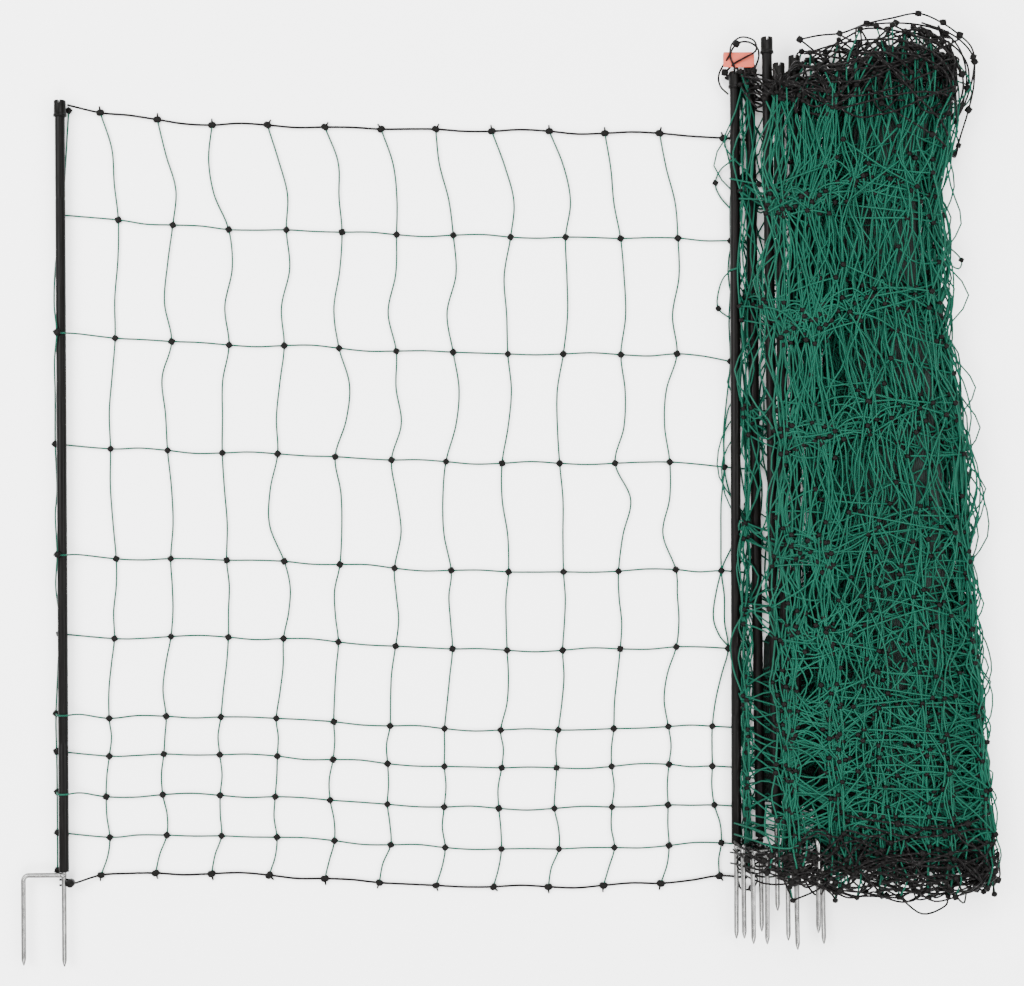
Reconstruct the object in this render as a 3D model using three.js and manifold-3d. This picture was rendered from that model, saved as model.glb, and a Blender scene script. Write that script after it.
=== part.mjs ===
// Electric poultry netting laid flat on the floor, seen from above with its posts along +Y.
// One panel is spread out from the end post. The rest is folded beside it with its six posts.
// Millimetres, +Z up. Everything is laid out from the foot of the end post, then centred.
import * as THREE from 'three';
import { mergeVertices } from 'three/addons/utils/BufferGeometryUtils.js';
import Module from 'manifold-3d';

const wasm = await Module();
wasm.setup();

// Clearance between pieces that touch
const fit_gap = 0.3;

// Net: green cord, black conducting lines, moulded knots
const cord_d = 2.2;
const line_d = 2.9;
const knot_d = 9.7;
const line_knot_d = 11.5;
const knot_h = 7;
const cord_sides = 4;
const knot_sides = 8;
const column_spacing = 81.5;
const column_count = 11;

// Height of each horizontal above the post's foot, from the top line to the bottom line,
// how far its first knot stands from the post, and how its height drops along the panel
const row_heights = [1102, 946, 774, 613, 453, 337, 221, 166, 107, 48, -7];
const first_knots = [50, 75, 73, 65, 72, 72, 63, 62, 60, 64, 50];
const top_line_drop = [0, 10, 18, 18, 21, 24, 24, 27, 27, 30, 30, 37];
const lower_rows_drop = [0, -3, -2, 0, 5, 11, 15, 17, 17, 15, 12, 12];
const rows_until_lower_drop = 5;

// Sideways bow of each upright cord at one third and two thirds of the way down each tall gap
const upper_bows = [
  [8, 5, -13, 7, 11, 10, -3, 10, 13, 1, 1],
  [1, -7, 5, 6, -2, -1, 4, -8, 3, 5, 2],
  [-2, -12, -6, -3, 17, 2, 12, 8, -7, 9, -12],
  [-3, 4, 1, -14, 6, 6, -7, -3, 3, 21, -3],
  [1, 2, 3, 9, -7, 2, -4, -3, 3, 0, 2],
  [-2, -5, 1, 3, -1, -3, 0, 5, 4, -1, -9],
];
const lower_bows = [
  [3, 12, -13, 11, 4, 8, 2, 14, 15, -2, 5],
  [-2, -11, -6, -5, -9, -12, -9, -3, 5, 7, -7],
  [-4, -5, -3, -5, 14, 12, 11, 6, -5, 10, -11],
  [-2, 5, 3, -18, 5, 11, -8, 2, 1, 8, -16],
  [-2, 3, 1, 7, -5, 5, -2, -2, 2, 3, 4],
  [-3, -7, 0, 2, -1, -2, 0, 6, 3, -2, -10],
];
const row_wave = 2.5;
const short_gap_bow = 3.5;

// Posts: plastic tube, moulded head, steel double spike
const tube_d = 14.5;
const tube_above_top_line = 2;
const tube_sides = 12;
const head_wall = 1.5;
const head_height = 24;
const head_socket = 10;
const head_chamfer = 1;
const collar_lip = 1;
const collar_height = 4;
const slot_width = 3;
const slot_depth = 5;
const spike_d = 7;
const spike_sides = 8;
const spike_in_tube = 70;
const spike_length = 138;
const prong_length = 136;
const prong_spacing = 59;
const prong_drop = 5;
const elbow_radius = 8;
const tip_length = 10;

// Clip that holds the bottom line on the end post's spike
const clip_body_d = 12;
const clip_arm = 3;
const clip_pitch = 8;
const clip_reach = 8;
const clip_depth = 11;
const clip_drop = 16.5;

// End post lean, as sideways travel for each unit of height
const end_post_lean = -0.0056;

// Folded part of the net
const panel_to_bundle = 64.5;
const post_side_width = 147;
const post_side_bottom = 95;
const post_side_above_top_line = 16;
const post_side_thickness = 62;
const folded_thickness = 70;
const folded_bevel = 14;
const sliver_width = 9;
const sliver_bottom = 240;
const sliver_top = 890;
const sliver_slant = 120;
const outline_steps = 2;

// Six posts in the bundle: foot across from the bundle's left, foot up, axis height, lean and
// the prong's turn. They are piled on each other, so thicker tubes rise higher
const pile_for_tube_d = 14.5;
const post_places = [
  { name: 'post_2', across: 13, y: 41, rise: 15, lean: -0.002, turn: 49 },
  { name: 'post_3', across: 48, y: 51, rise: 15, lean: -0.0143, turn: 122 },
  { name: 'post_4', across: 68, y: 86, rise: 38, lean: -0.0127, turn: 0 },
  { name: 'post_5', across: 82, y: 46, rise: 50, lean: -0.0113, turn: 154 },
  { name: 'post_6', across: 99, y: 62, rise: 26, lean: -0.0035, turn: 68 },
  { name: 'post_7', across: 137, y: 33, rise: 15, lean: -0.0219, turn: 138 },
];

// Blank tag lying over the posts' heads
const tag_width = 45;
const tag_height = 22;
const tag_thickness = 1.2;
const tag_beyond_bundle = 7.5;
const tag_over_head = 6;

// Sizes that follow from the ones above
const tube_r = tube_d / 2;
const head_d = tube_d + head_wall * 2;
const collar_d = head_d + collar_lip * 2;
const tube_length = row_heights[0] + tube_above_top_line;
const bore_r = spike_d / 2 + fit_gap;
const spike_r = spike_d / 2;
const cord_z = knot_h / 2;
const end_post_z = knot_h + fit_gap + tube_r;
const post_length = tube_length - head_socket + head_height;
const over_post_r = (tube_r + fit_gap + cord_d / 2) / Math.cos(Math.PI / 8) + fit_gap;
const side_reach = over_post_r + cord_d / 4;
const front_knot_z = end_post_z + tube_r + fit_gap + knot_h / 2;
const pile_share = tube_d / pile_for_tube_d;
const bundle_left = column_spacing * column_count + panel_to_bundle;
const bundle_split = bundle_left + post_side_width;
const post_side_top = row_heights[0] + post_side_above_top_line;
const bundled_posts = post_places.map(({ across, rise, ...post }) => ({
  ...post, x: bundle_left + across, z: rise * pile_share,
}));

const palette = {
  post_plastic: { color: 0x1b1917, roughness: 0.42, metalness: 0 },
  steel: { color: 0xc4bfb8, roughness: 0.34, metalness: 1 },
  green_cord: { color: 0x1c7a5e, roughness: 0.6, metalness: 0 },
  black_cord: { color: 0x1f1c1a, roughness: 0.6, metalness: 0 },
  tag: { color: 0xe6866c, roughness: 0.7, metalness: 0 },
};

const poultry_netting = new THREE.Group();

function add_piece(name, geometry, finish, parent = poultry_netting) {
  const mesh = new THREE.Mesh(geometry, new THREE.MeshStandardMaterial(palette[finish]));
  mesh.name = name;
  parent.add(mesh);
  return mesh;
}

// A path that is sampled exactly at the points it is given
class PointPath extends THREE.Curve {
  constructor(points) {
    super();
    this.points = points;
  }

  getPoint(t, target = new THREE.Vector3()) {
    const along = Math.min(Math.max(t, 0), 1) * (this.points.length - 1);
    const index = Math.min(Math.floor(along), this.points.length - 2);
    return target.lerpVectors(this.points[index], this.points[index + 1], along - index);
  }

  getPointAt(u, target) {
    return this.getPoint(u, target);
  }

  getTangentAt(u, target) {
    return this.getTangent(u, target);
  }
}

function polygon(radius, sides) {
  const corners = [];
  for (let i = 0; i < sides; i += 1) {
    const angle = ((i + 0.5) / sides) * Math.PI * 2;
    corners.push(new THREE.Vector2(radius * Math.cos(angle), radius * Math.sin(angle)));
  }
  return new THREE.Shape(corners);
}

function rod_along(points, diameter, sides) {
  return new THREE.ExtrudeGeometry(polygon(diameter / 2, sides), {
    steps: points.length - 1,
    extrudePath: new PointPath(points),
    bevelEnabled: false,
  });
}

function closed(geometry) {
  geometry.deleteAttribute('normal');
  geometry.deleteAttribute('uv');
  return mergeVertices(geometry, 1e-4);
}

function signed_volume(position, index) {
  const corners = [new THREE.Vector3(), new THREE.Vector3(), new THREE.Vector3()];
  let volume = 0;
  for (let i = 0; i < index.count; i += 3) {
    corners.forEach((corner, k) => corner.fromBufferAttribute(position, index.getX(i + k)));
    volume += corners[0].dot(corners[1].cross(corners[2]));
  }
  return volume;
}

function to_solid(geometry) {
  const merged = closed(geometry);
  const faces = Uint32Array.from(merged.index.array);
  if (signed_volume(merged.attributes.position, merged.index) < 0) {
    for (let i = 0; i < faces.length; i += 3) {
      [faces[i], faces[i + 1]] = [faces[i + 1], faces[i]];
    }
  }
  const vertProperties = Float32Array.from(merged.attributes.position.array);
  return new wasm.Manifold(new wasm.Mesh({ numProp: 3, vertProperties, triVerts: faces }));
}

function to_geometry(solid) {
  const mesh = solid.getMesh();
  const geometry = new THREE.BufferGeometry();
  geometry.setAttribute('position', new THREE.BufferAttribute(mesh.vertProperties, 3));
  geometry.setIndex(new THREE.BufferAttribute(mesh.triVerts, 1));
  geometry.computeVertexNormals();
  return geometry;
}

const joined = (geometries) => to_geometry(wasm.Manifold.union(geometries.map(to_solid)));

// Height of a knot: the drop along a row blends from the top line's to the lower rows'
function knot_place(row, column) {
  const blend = Math.min(row / rows_until_lower_drop, 1);
  const drop = THREE.MathUtils.lerp(top_line_drop[column], lower_rows_drop[column], blend);
  const shift = 1.5 * Math.sin(row * 2.1 + column * 1.7);
  const across = first_knots[row] + column_spacing * column + shift;
  return new THREE.Vector3(across, row_heights[row] - drop, cord_z);
}

function end_post_axis(height) {
  return end_post_lean * height;
}

// Rows that pass over the end post, and each selvedge knot's place beside, over or under it
const rows_over_post = [2, 4, 6, 8];
const selvedge_offsets = [14, 0, -3.8, -12, -5, -7.3, -13, -12.4, -12, -12, -12];
const selvedge_drop = -7;
const rows_with_knot_in_front = [2, 4];

function selvedge_knot(row) {
  const height = row === 0 ? row_heights[0] + 3 : row_heights[row] - selvedge_drop;
  const z = rows_with_knot_in_front.includes(row) ? front_knot_z : cord_z;
  return new THREE.Vector3(end_post_axis(height) + selvedge_offsets[row], height, z);
}

// Points over the post's front, from its left side round to its right side
function over_post(height, first_angle) {
  const points = [];
  for (let angle = first_angle; angle >= 45; angle -= 45) {
    const turn = THREE.MathUtils.degToRad(angle);
    const across = end_post_axis(height) + over_post_r * Math.cos(turn);
    points.push(new THREE.Vector3(across, height, end_post_z + over_post_r * Math.sin(turn)));
  }
  return points;
}

function row_start(row) {
  const knot = selvedge_knot(row);
  if (!rows_over_post.includes(row)) {
    return [knot];
  }
  const first_angle = rows_with_knot_in_front.includes(row) ? 90 : 180;
  const landing = new THREE.Vector3(end_post_axis(knot.y) + 24, knot.y - 1, cord_z + 3);
  return [knot, ...over_post(knot.y - 1, first_angle), landing];
}

// A wavy row of cord from its first point, through every knot, to the folded part
function row_points(row, start) {
  const points = [...start];
  for (let column = 0; column < column_count; column += 1) {
    const knot = knot_place(row, column);
    if (column > 0) {
      const middle = knot.clone().add(knot_place(row, column - 1)).multiplyScalar(0.5);
      middle.y += row_wave * Math.sin(row * 1.9 + column * 2.6);
      points.push(middle);
    }
    points.push(knot);
  }
  const last = knot_place(row, column_count);
  points.push(new THREE.Vector3(bundle_left - fit_gap, last.y, cord_z));
  return points;
}

function upright_points(column) {
  const points = [];
  const last_row = row_heights.length - 1;
  for (let row = 0; row < last_row; row += 1) {
    const above = knot_place(row, column);
    const below = knot_place(row + 1, column);
    points.push(above);
    if (row < upper_bows.length) {
      const third = above.clone().lerp(below, 1 / 3);
      const two_thirds = above.clone().lerp(below, 2 / 3);
      third.x += upper_bows[row][column];
      two_thirds.x += lower_bows[row][column];
      points.push(third, two_thirds);
    } else {
      const middle = above.clone().lerp(below, 0.5);
      middle.x += short_gap_bow * Math.sin(row * 2.3 + column * 1.9);
      points.push(middle);
    }
  }
  points.push(knot_place(last_row, column));
  return shorten(points, line_knot_d / 2 + fit_gap);
}

// Pulls both ends of a cord back from the knots of the lines
function shorten(points, distance) {
  const pull = (end, next) => {
    end.add(next.clone().sub(end).setLength(distance));
  };
  pull(points[0], points[1]);
  pull(points[points.length - 1], points[points.length - 2]);
  return points;
}

// The net's edge cord winds round the end post between its knots
function selvedge_points() {
  const knots = row_heights.map((height, row) => selvedge_knot(row));
  const beside = (row, share, z, reach) => {
    const point = knots[row].clone().lerp(knots[row + 1], share);
    point.x = end_post_axis(point.y) - reach;
    point.z = z;
    return point;
  };
  return [
    knots[0], knots[1],
    beside(1, 0.4, cord_z, side_reach), beside(1, 0.75, end_post_z, side_reach),
    knots[2],
    beside(2, 0.25, end_post_z, side_reach), beside(2, 0.55, cord_z, side_reach + 2),
    knots[3],
    beside(3, 0.4, cord_z, side_reach), beside(3, 0.65, end_post_z, side_reach),
    knots[4],
    beside(4, 0.4, end_post_z, side_reach), beside(4, 0.75, cord_z, side_reach - 2),
    knots[5], knots[6], knots[7], knots[8], knots[9], knots[10],
  ];
}

function knot_at(place, diameter) {
  const knot = new THREE.CylinderGeometry(diameter / 2, diameter / 2, knot_h, knot_sides);
  knot.rotateY(Math.PI / knot_sides).rotateX(Math.PI / 2);
  return knot.translate(place.x, place.y, place.z);
}

function make_net() {
  const bottom_row = row_heights.length - 1;
  const parts = [rod_along(selvedge_points(), cord_d, cord_sides)];
  for (let row = 0; row <= bottom_row; row += 1) {
    parts.push(knot_at(selvedge_knot(row), knot_d));
  }
  for (let row = 1; row < bottom_row; row += 1) {
    parts.push(rod_along(row_points(row, row_start(row)), cord_d, cord_sides));
    for (let column = 0; column < column_count; column += 1) {
      parts.push(knot_at(knot_place(row, column), knot_d));
    }
  }
  for (let column = 0; column < column_count; column += 1) {
    parts.push(rod_along(upright_points(column), cord_d, cord_sides));
  }
  add_piece('net_mesh', joined(parts), 'green_cord');
}

function make_line(name, row, start) {
  const parts = [rod_along(row_points(row, start), line_d, cord_sides)];
  for (let column = 0; column < column_count; column += 1) {
    parts.push(knot_at(knot_place(row, column), line_knot_d));
  }
  add_piece(name, joined(parts), 'black_cord');
}

function make_lines() {
  const top_height = row_heights[0] + 9;
  const beside_head = end_post_axis(top_height) + collar_d / 2 + fit_gap;
  const top_start = new THREE.Vector3(beside_head, top_height, end_post_z);
  make_line('top_line', 0, [top_start]);
  const clip_side = clip_body_d + spike_r + fit_gap * 2;
  const bottom_start = new THREE.Vector3(clip_side, -clip_drop, end_post_z);
  make_line('bottom_line', row_heights.length - 1, [bottom_start]);
}

function tube_geometry() {
  const profile = [[bore_r, 0], [tube_r, 0], [tube_r, tube_length], [bore_r, tube_length], [bore_r, 0]];
  const points = profile.map(([r, y]) => new THREE.Vector2(r, y));
  return to_geometry(to_solid(new THREE.LatheGeometry(points, tube_sides)));
}

function head_geometry() {
  const head_r = head_d / 2;
  const collar_r = collar_d / 2;
  const socket_r = tube_r + fit_gap;
  const profile = [
    [0, head_socket + fit_gap], [socket_r, head_socket + fit_gap], [socket_r, 0], [collar_r, 0],
    [collar_r, collar_height], [head_r, collar_height], [head_r, head_height - head_chamfer],
    [head_r - head_chamfer, head_height], [0, head_height],
  ];
  const points = profile.map(([r, y]) => new THREE.Vector2(r, y));
  const body = to_solid(new THREE.LatheGeometry(points, tube_sides));
  const slot = new THREE.BoxGeometry(slot_width, slot_depth * 2, head_d * 2);
  slot.translate(0, head_height, 0);
  return to_geometry(body.subtract(to_solid(slot)));
}

function pointed_rod(top, bottom) {
  const profile = [[0, top], [spike_r, top], [spike_r, bottom + tip_length], [0, bottom]];
  const points = profile.map(([r, y]) => new THREE.Vector2(r, y));
  return new THREE.LatheGeometry(points, spike_sides);
}

// Main rod with a second prong on a bar that is welded across below the post's foot
function spike_geometry() {
  const bar = [new THREE.Vector3(0, -prong_drop, 0)];
  for (const angle of [0, 30, 60, 90]) {
    const turn = THREE.MathUtils.degToRad(angle);
    const across = prong_spacing - elbow_radius + elbow_radius * Math.sin(turn);
    const down = prong_drop + elbow_radius - elbow_radius * Math.cos(turn);
    bar.push(new THREE.Vector3(-across, -down, 0));
  }
  const prong_top = -prong_drop - elbow_radius;
  bar.push(new THREE.Vector3(-prong_spacing, prong_top - 1, 0));
  const prong = pointed_rod(prong_top, -prong_length).translate(-prong_spacing, 0, 0);
  return joined([pointed_rod(spike_in_tube, -spike_length), prong, rod_along(bar, spike_d, spike_sides)]);
}

function make_post(prefix, x, y, z, lean, turn) {
  const post = new THREE.Group();
  post.position.set(x, y, z);
  post.rotation.z = -Math.atan(lean);
  add_piece(`${prefix}_tube`, tube_geometry(), 'post_plastic', post);
  const head = add_piece(`${prefix}_head`, head_geometry(), 'post_plastic', post);
  head.position.y = tube_length - head_socket;
  const spike = add_piece(`${prefix}_double_spike`, spike_geometry(), 'steel', post);
  spike.rotation.y = THREE.MathUtils.degToRad(turn);
  poultry_netting.add(post);
}

function make_posts() {
  make_post('end_post', 0, 0, end_post_z, end_post_lean, 0);
  for (const post of bundled_posts) {
    make_post(post.name, post.x, post.y, post.z, post.lean, 180 - post.turn);
  }
}

// Round body beside the spike, with two arms that reach behind it
function make_clip() {
  const body = new THREE.CylinderGeometry(clip_body_d / 2, clip_body_d / 2, clip_depth, tube_sides);
  body.rotateX(Math.PI / 2).translate(clip_body_d / 2 + spike_r, -clip_drop, 0);
  let clip = to_solid(body);
  for (const side of [-1, 1]) {
    const length = clip_body_d / 2 + spike_r + clip_reach;
    const arm = new THREE.BoxGeometry(length, clip_arm, clip_depth / 2);
    arm.translate(length / 2 - clip_reach, side * clip_pitch / 2 - clip_drop, -clip_depth / 4);
    clip = clip.add(to_solid(arm));
  }
  const rod = new THREE.CylinderGeometry(bore_r, bore_r, clip_body_d * 3, spike_sides);
  rod.translate(0, -clip_drop, 0);
  clip = clip.subtract(to_solid(rod));
  const mesh = add_piece('end_post_line_clip', to_geometry(clip), 'post_plastic');
  mesh.position.z = end_post_z;
}

// Slab with a straight left edge, a free outline on its right, rounded rims and a flat underside
function slab(left_edge, free_outline, thickness, bevel) {
  const shape = new THREE.Shape(left_edge.map(([x, y]) => new THREE.Vector2(x, y)));
  shape.splineThru(free_outline.map(([x, y]) => new THREE.Vector2(x, y)));
  const geometry = new THREE.ExtrudeGeometry(shape, {
    depth: thickness - bevel * 2,
    curveSegments: outline_steps,
    bevelThickness: bevel,
    bevelSize: bevel,
    bevelOffset: -bevel,
    bevelSegments: 2,
  });
  return geometry.translate(0, 0, bevel);
}

function make_folded_net() {
  const left = bundle_split + fit_gap;
  const top = row_heights[0];
  const left_edge = [
    [left, -28], [left, sliver_bottom], [left + sliver_width, sliver_bottom + sliver_slant],
    [left + sliver_width, sliver_top - sliver_slant], [left, sliver_top], [left, top + 48],
  ];
  const free_outline = [
    [22, top + 108], [72, top + 126], [132, top + 126], [182, top + 103], [204, top + 48],
    [190, 1060], [172, 960], [172, 850], [184, 790], [200, 690], [212, 560], [218, 400],
    [230, 260], [242, 120], [248, 20], [232, -24], [142, -31], [52, -30],
  ].map(([across, y]) => [bundle_split + across, y]);
  free_outline.push([left, -28]);
  const geometry = slab(left_edge, free_outline, folded_thickness, folded_bevel);
  add_piece('folded_net', to_geometry(to_solid(geometry)), 'green_cord');
}

// The folds among the posts, with a clear way through for each tube
function make_post_side() {
  const wide = bundle_split - bundle_left;
  const thick = post_side_thickness * pile_share;
  const block = new THREE.BoxGeometry(wide, post_side_top - post_side_bottom, thick);
  const middle_up = (post_side_top + post_side_bottom) / 2;
  block.translate(bundle_left + wide / 2, middle_up, thick / 2);
  let folds = to_solid(block);
  for (const post of bundled_posts) {
    const clear_r = tube_r + fit_gap;
    const way = new THREE.CylinderGeometry(clear_r, clear_r, post_length * 2, tube_sides);
    way.rotateZ(-Math.atan(post.lean)).translate(post.x, post.y, post.z);
    folds = folds.subtract(to_solid(way));
  }
  const notch = new THREE.BoxGeometry(sliver_width, sliver_top - sliver_bottom, thick * 3);
  notch.translate(bundle_split, (sliver_top + sliver_bottom) / 2, 0);
  folds = folds.subtract(to_solid(notch));
  add_piece('folded_net_at_posts', to_geometry(folds), 'green_cord');
}

function make_tag() {
  const tag = new THREE.BoxGeometry(tag_width, tag_height, tag_thickness);
  const mesh = add_piece('blank_tag', to_geometry(to_solid(tag)), 'tag');
  const post_under = bundled_posts[1];
  const under = post_under.z + head_d / 2 + fit_gap;
  const tag_left = bundle_left - tag_beyond_bundle;
  const tag_bottom = post_under.y + post_length - tag_over_head;
  mesh.position.set(tag_left + tag_width / 2, tag_bottom + tag_height / 2, under + tag_thickness / 2);
}

make_net();
make_lines();
make_posts();
make_clip();
make_folded_net();
make_post_side();
make_tag();

// Stands the model over the centre of its own outline, with its lowest point on the floor
poultry_netting.updateMatrixWorld(true);
const outline_box = new THREE.Box3().setFromObject(poultry_netting, true);
const outline_centre = outline_box.getCenter(new THREE.Vector3());
poultry_netting.position.set(-outline_centre.x, -outline_centre.y, -outline_box.min.z);

export default poultry_netting;
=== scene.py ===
"""Electric poultry netting laid flat: its posts, spread panel and folded bundle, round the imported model."""
import math

import bmesh
import bpy
import numpy as np
from bpy.props import FloatProperty, FloatVectorProperty, IntProperty, PointerProperty
from mathutils import Matrix, Vector

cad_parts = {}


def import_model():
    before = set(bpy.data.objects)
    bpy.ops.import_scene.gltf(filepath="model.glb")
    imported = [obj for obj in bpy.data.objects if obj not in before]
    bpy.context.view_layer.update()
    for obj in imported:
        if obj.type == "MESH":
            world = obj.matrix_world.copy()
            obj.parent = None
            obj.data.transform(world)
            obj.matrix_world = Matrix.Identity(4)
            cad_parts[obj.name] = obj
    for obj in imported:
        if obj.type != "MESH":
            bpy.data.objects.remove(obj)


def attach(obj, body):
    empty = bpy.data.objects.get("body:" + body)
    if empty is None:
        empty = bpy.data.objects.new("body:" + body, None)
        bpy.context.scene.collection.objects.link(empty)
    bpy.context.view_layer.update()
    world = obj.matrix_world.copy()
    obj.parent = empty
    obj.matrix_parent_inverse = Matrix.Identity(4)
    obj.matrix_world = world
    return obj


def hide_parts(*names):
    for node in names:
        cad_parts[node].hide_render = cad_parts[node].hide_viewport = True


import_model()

bl_info = {
    "name": "Electric poultry netting",
    "version": (1, 0, 0),
    "blender": (4, 5, 0),
    "location": "3D View > Sidebar > Netting",
    "description": "Builds the net, its posts and its folded bundle around the packed model",
    "category": "Add Mesh",
}

# Layout: millimetres from the foot of the end post. The frame's origin is under the model's middle
MM = 0.001
LAYOUT_TO_FRAME = np.array((-646.84, -546.17, 0.0))
MM_PER_PIXEL = 1.45
FOOT_PIXEL = (64.4, 871.5)

# Clearance between pieces that touch
FIT_GAP = 0.3

# Spread panel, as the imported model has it
ROW_HEIGHTS = (1102, 946, 774, 613, 453, 337, 221, 166, 107, 48, -7)
FIRST_KNOTS = (50, 75, 73, 65, 72, 72, 63, 62, 60, 64, 50)
TOP_LINE_DROP = (0, 10, 18, 18, 21, 24, 24, 27, 27, 30, 30, 37)
LOWER_ROWS_DROP = (0, -3, -2, 0, 5, 11, 15, 17, 17, 15, 12, 12)
ROWS_UNTIL_LOWER_DROP = 5
COLUMN_COUNT = 11
TOP_ROW = 0
BOTTOM_ROW = len(ROW_HEIGHTS) - 1
UPPER_BOWS = (
    (8, 5, -13, 7, 11, 10, -3, 10, 13, 1, 1),
    (1, -7, 5, 6, -2, -1, 4, -8, 3, 5, 2),
    (-2, -12, -6, -3, 17, 2, 12, 8, -7, 9, -12),
    (-3, 4, 1, -14, 6, 6, -7, -3, 3, 21, -3),
    (1, 2, 3, 9, -7, 2, -4, -3, 3, 0, 2),
    (-2, -5, 1, 3, -1, -3, 0, 5, 4, -1, -9),
)
LOWER_BOWS = (
    (3, 12, -13, 11, 4, 8, 2, 14, 15, -2, 5),
    (-2, -11, -6, -5, -9, -12, -9, -3, 5, 7, -7),
    (-4, -5, -3, -5, 14, 12, 11, 6, -5, 10, -11),
    (-2, 5, 3, -18, 5, 11, -8, 2, 1, 8, -16),
    (-2, 3, 1, 7, -5, 5, -2, -2, 2, 3, 4),
    (-3, -7, 0, 2, -1, -2, 0, 6, 3, -2, -10),
)
ROW_WAVE = 2.5
SHORT_GAP_BOW = 3.5
KNOT_HEIGHT = 7
CORD_Z = KNOT_HEIGHT / 2

# Where the photograph shows the knots of the last upright before the posts
LAST_KNOT_PIXELS = (
    (724, 137), (731, 240), (731, 361), (725, 467), (722, 571), (729, 649),
    (713, 727), (713, 767), (715, 806), (722, 844), (720, 877),
)
ROW_END_PIXEL = 748

# Net's edge cord: how far each knot stands from the end post's axis, and what passes over the post
EDGE_KNOT_OFFSETS = (10.5, 0, -3.8, -12, -5, -7.3, -13, -12.4, -12, -12, -12)
EDGE_KNOT_RISE = 7
ROWS_OVER_POST = (2, 4, 6, 8)
ROWS_WITH_KNOT_IN_FRONT = (2, 4)

# Posts
TUBE_D = 14.5
TUBE_R = TUBE_D / 2
TUBE_LENGTH = 1104
HEAD_D = 17.5
HEAD_HEIGHT = 24
HEAD_SOCKET = 10
COLLAR_D = 19.5
COLLAR_HEIGHT = 4
SLOT_WIDTH = 3
SLOT_DEPTH = 5
SPIKE_D = 7
SPIKE_R = SPIKE_D / 2
SPIKE_IN_TUBE = 70
SPIKE_LENGTH = 138
PRONG_LENGTH = 136
PRONG_SPACING = 59
PRONG_DROP = 5
ELBOW_RADIUS = 8
TIP_LENGTH = 10
END_POST_LEAN = -0.0056
END_POST_Z = KNOT_HEIGHT + FIT_GAP + TUBE_R
OVER_POST_R = TUBE_R + FIT_GAP + 1.6
POSTS = {
    "end_post": dict(x=0, y=0, z=END_POST_Z, lean=END_POST_LEAN, turn=180),
    "post_2": dict(x=974, y=41, z=15, lean=-0.002, turn=49),
    "post_3": dict(x=1009, y=51, z=15, lean=-0.0143, turn=122),
    "post_4": dict(x=1029, y=86, z=38, lean=-0.0127, turn=0),
    "post_5": dict(x=1043, y=46, z=50, lean=-0.0113, turn=154),
    "post_6": dict(x=1060, y=62, z=26, lean=-0.0035, turn=68),
    "post_7": dict(x=1098, y=33, z=15, lean=-0.0219, turn=138),
}

# Clip on the end post's spike
CLIP_BODY_D = 12
CLIP_ARM = 3
CLIP_ARM_DEPTH = 2.2
CLIP_PITCH = 8
CLIP_REACH = 8
CLIP_DEPTH = 11
CLIP_DROP = 16.5
CLIP_ROUNDING = 0.8
CLIP_ARM_ROUNDING = 0.6
CLIP_BOSS_R = 2.6
CLIP_BOSS_FLATNESS = 0.4

# Edges of the folded part in the photograph: height down the picture, then how far across
FOLDED_RIGHT_PIXELS = (
    (30, 934), (66, 950), (112, 948), (154, 938), (200, 932), (300, 932), (350, 946), (400, 953),
    (450, 958), (500, 961), (600, 966), (650, 972), (700, 976), (750, 980), (800, 984), (840, 988),
    (890, 988),
)
FOLDED_LEFT_PIXELS = ((30, 734), (130, 735), (400, 738), (560, 738), (700, 736), (890, 737))

# Bands of uprights across the folded net: their share of its width, how freely a band's uprights
# wander on their way down, and how far apart they stand, in millimetres
BAND_PLACES = (0.04, 0.2, 0.395, 0.59, 0.8, 0.985)
BAND_FREEDOM = (0.35, 0.9, 0.9, 1.1, 1.1, 0.7)
BAND_SPREAD = (2, 8, 8, 17, 16, 7)
BANDS_BESIDE_POSTS = 3

# Layers of the folded net from the floor up: how many, the first of their bands, whether they lie
# over the posts, and their lowest and highest place in the bundle's thickness
LAYER_KINDS = (
    dict(count=10, first_band=0, over_posts=False, low=0.0, high=0.25),
    dict(count=30, first_band=2, over_posts=False, low=0.15, high=0.85),
    dict(count=15, first_band=1, over_posts=True, low=0.72, high=0.95),
    dict(count=6, first_band=0, over_posts=True, low=0.9, high=1.0),
)
BAND_Z_UNDER = (4.0, 7.0, 16.0)
BAND_Z_OVER = (27.0, 61.0, 62.0)
FOLDED_LOWEST_Z = 4.0
FOLDED_TOP_Z = 65.0
LAST_BAND_SINKS_TO = 0.72
LINES_ABOVE_CORDS = 6.0
LEAST_CORD_Z = 2.6
HEIGHT_WANDER = 2.2
LAYER_SHIFT = 38
LAYER_SLOPE = 15
KNOT_WANDER = 8

# How far an upright's knots wander sideways: rows of the net, then millimetres
WANDER_ROWS = (0, 5, 7, 10)
WANDER_WIDTHS = (19, 14, 6, 6)

# The bottom line passes over the spikes of the posts in the bundle
BANDS_OVER_FEET = (1, 2)
FOOT_LINE_Z = (82.0, 88.0)
ABOVE_FOOT_LINE_RISE = 5

# How far down the photograph the lines of each band lie, and how much that varies
TOP_LINE_PIXELS = (86, 102, 92, 76, 68, 78)
TOP_LINE_SPREAD = (8, 7, 15, 20, 20, 18)
TOP_LINE_LIMITS = (34, 125)
BOTTOM_LINE_PIXELS = (858, 858, 858, 860, 860, 858)
BOTTOM_LINE_SPREAD = (9, 14, 20, 23, 23, 20)
BOTTOM_LINE_LIMITS = (810, 890)


def world(points):
    """Metres in the frame, from millimetres in the layout."""
    return (np.asarray(points, dtype=float) + LAYOUT_TO_FRAME) * MM


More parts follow.
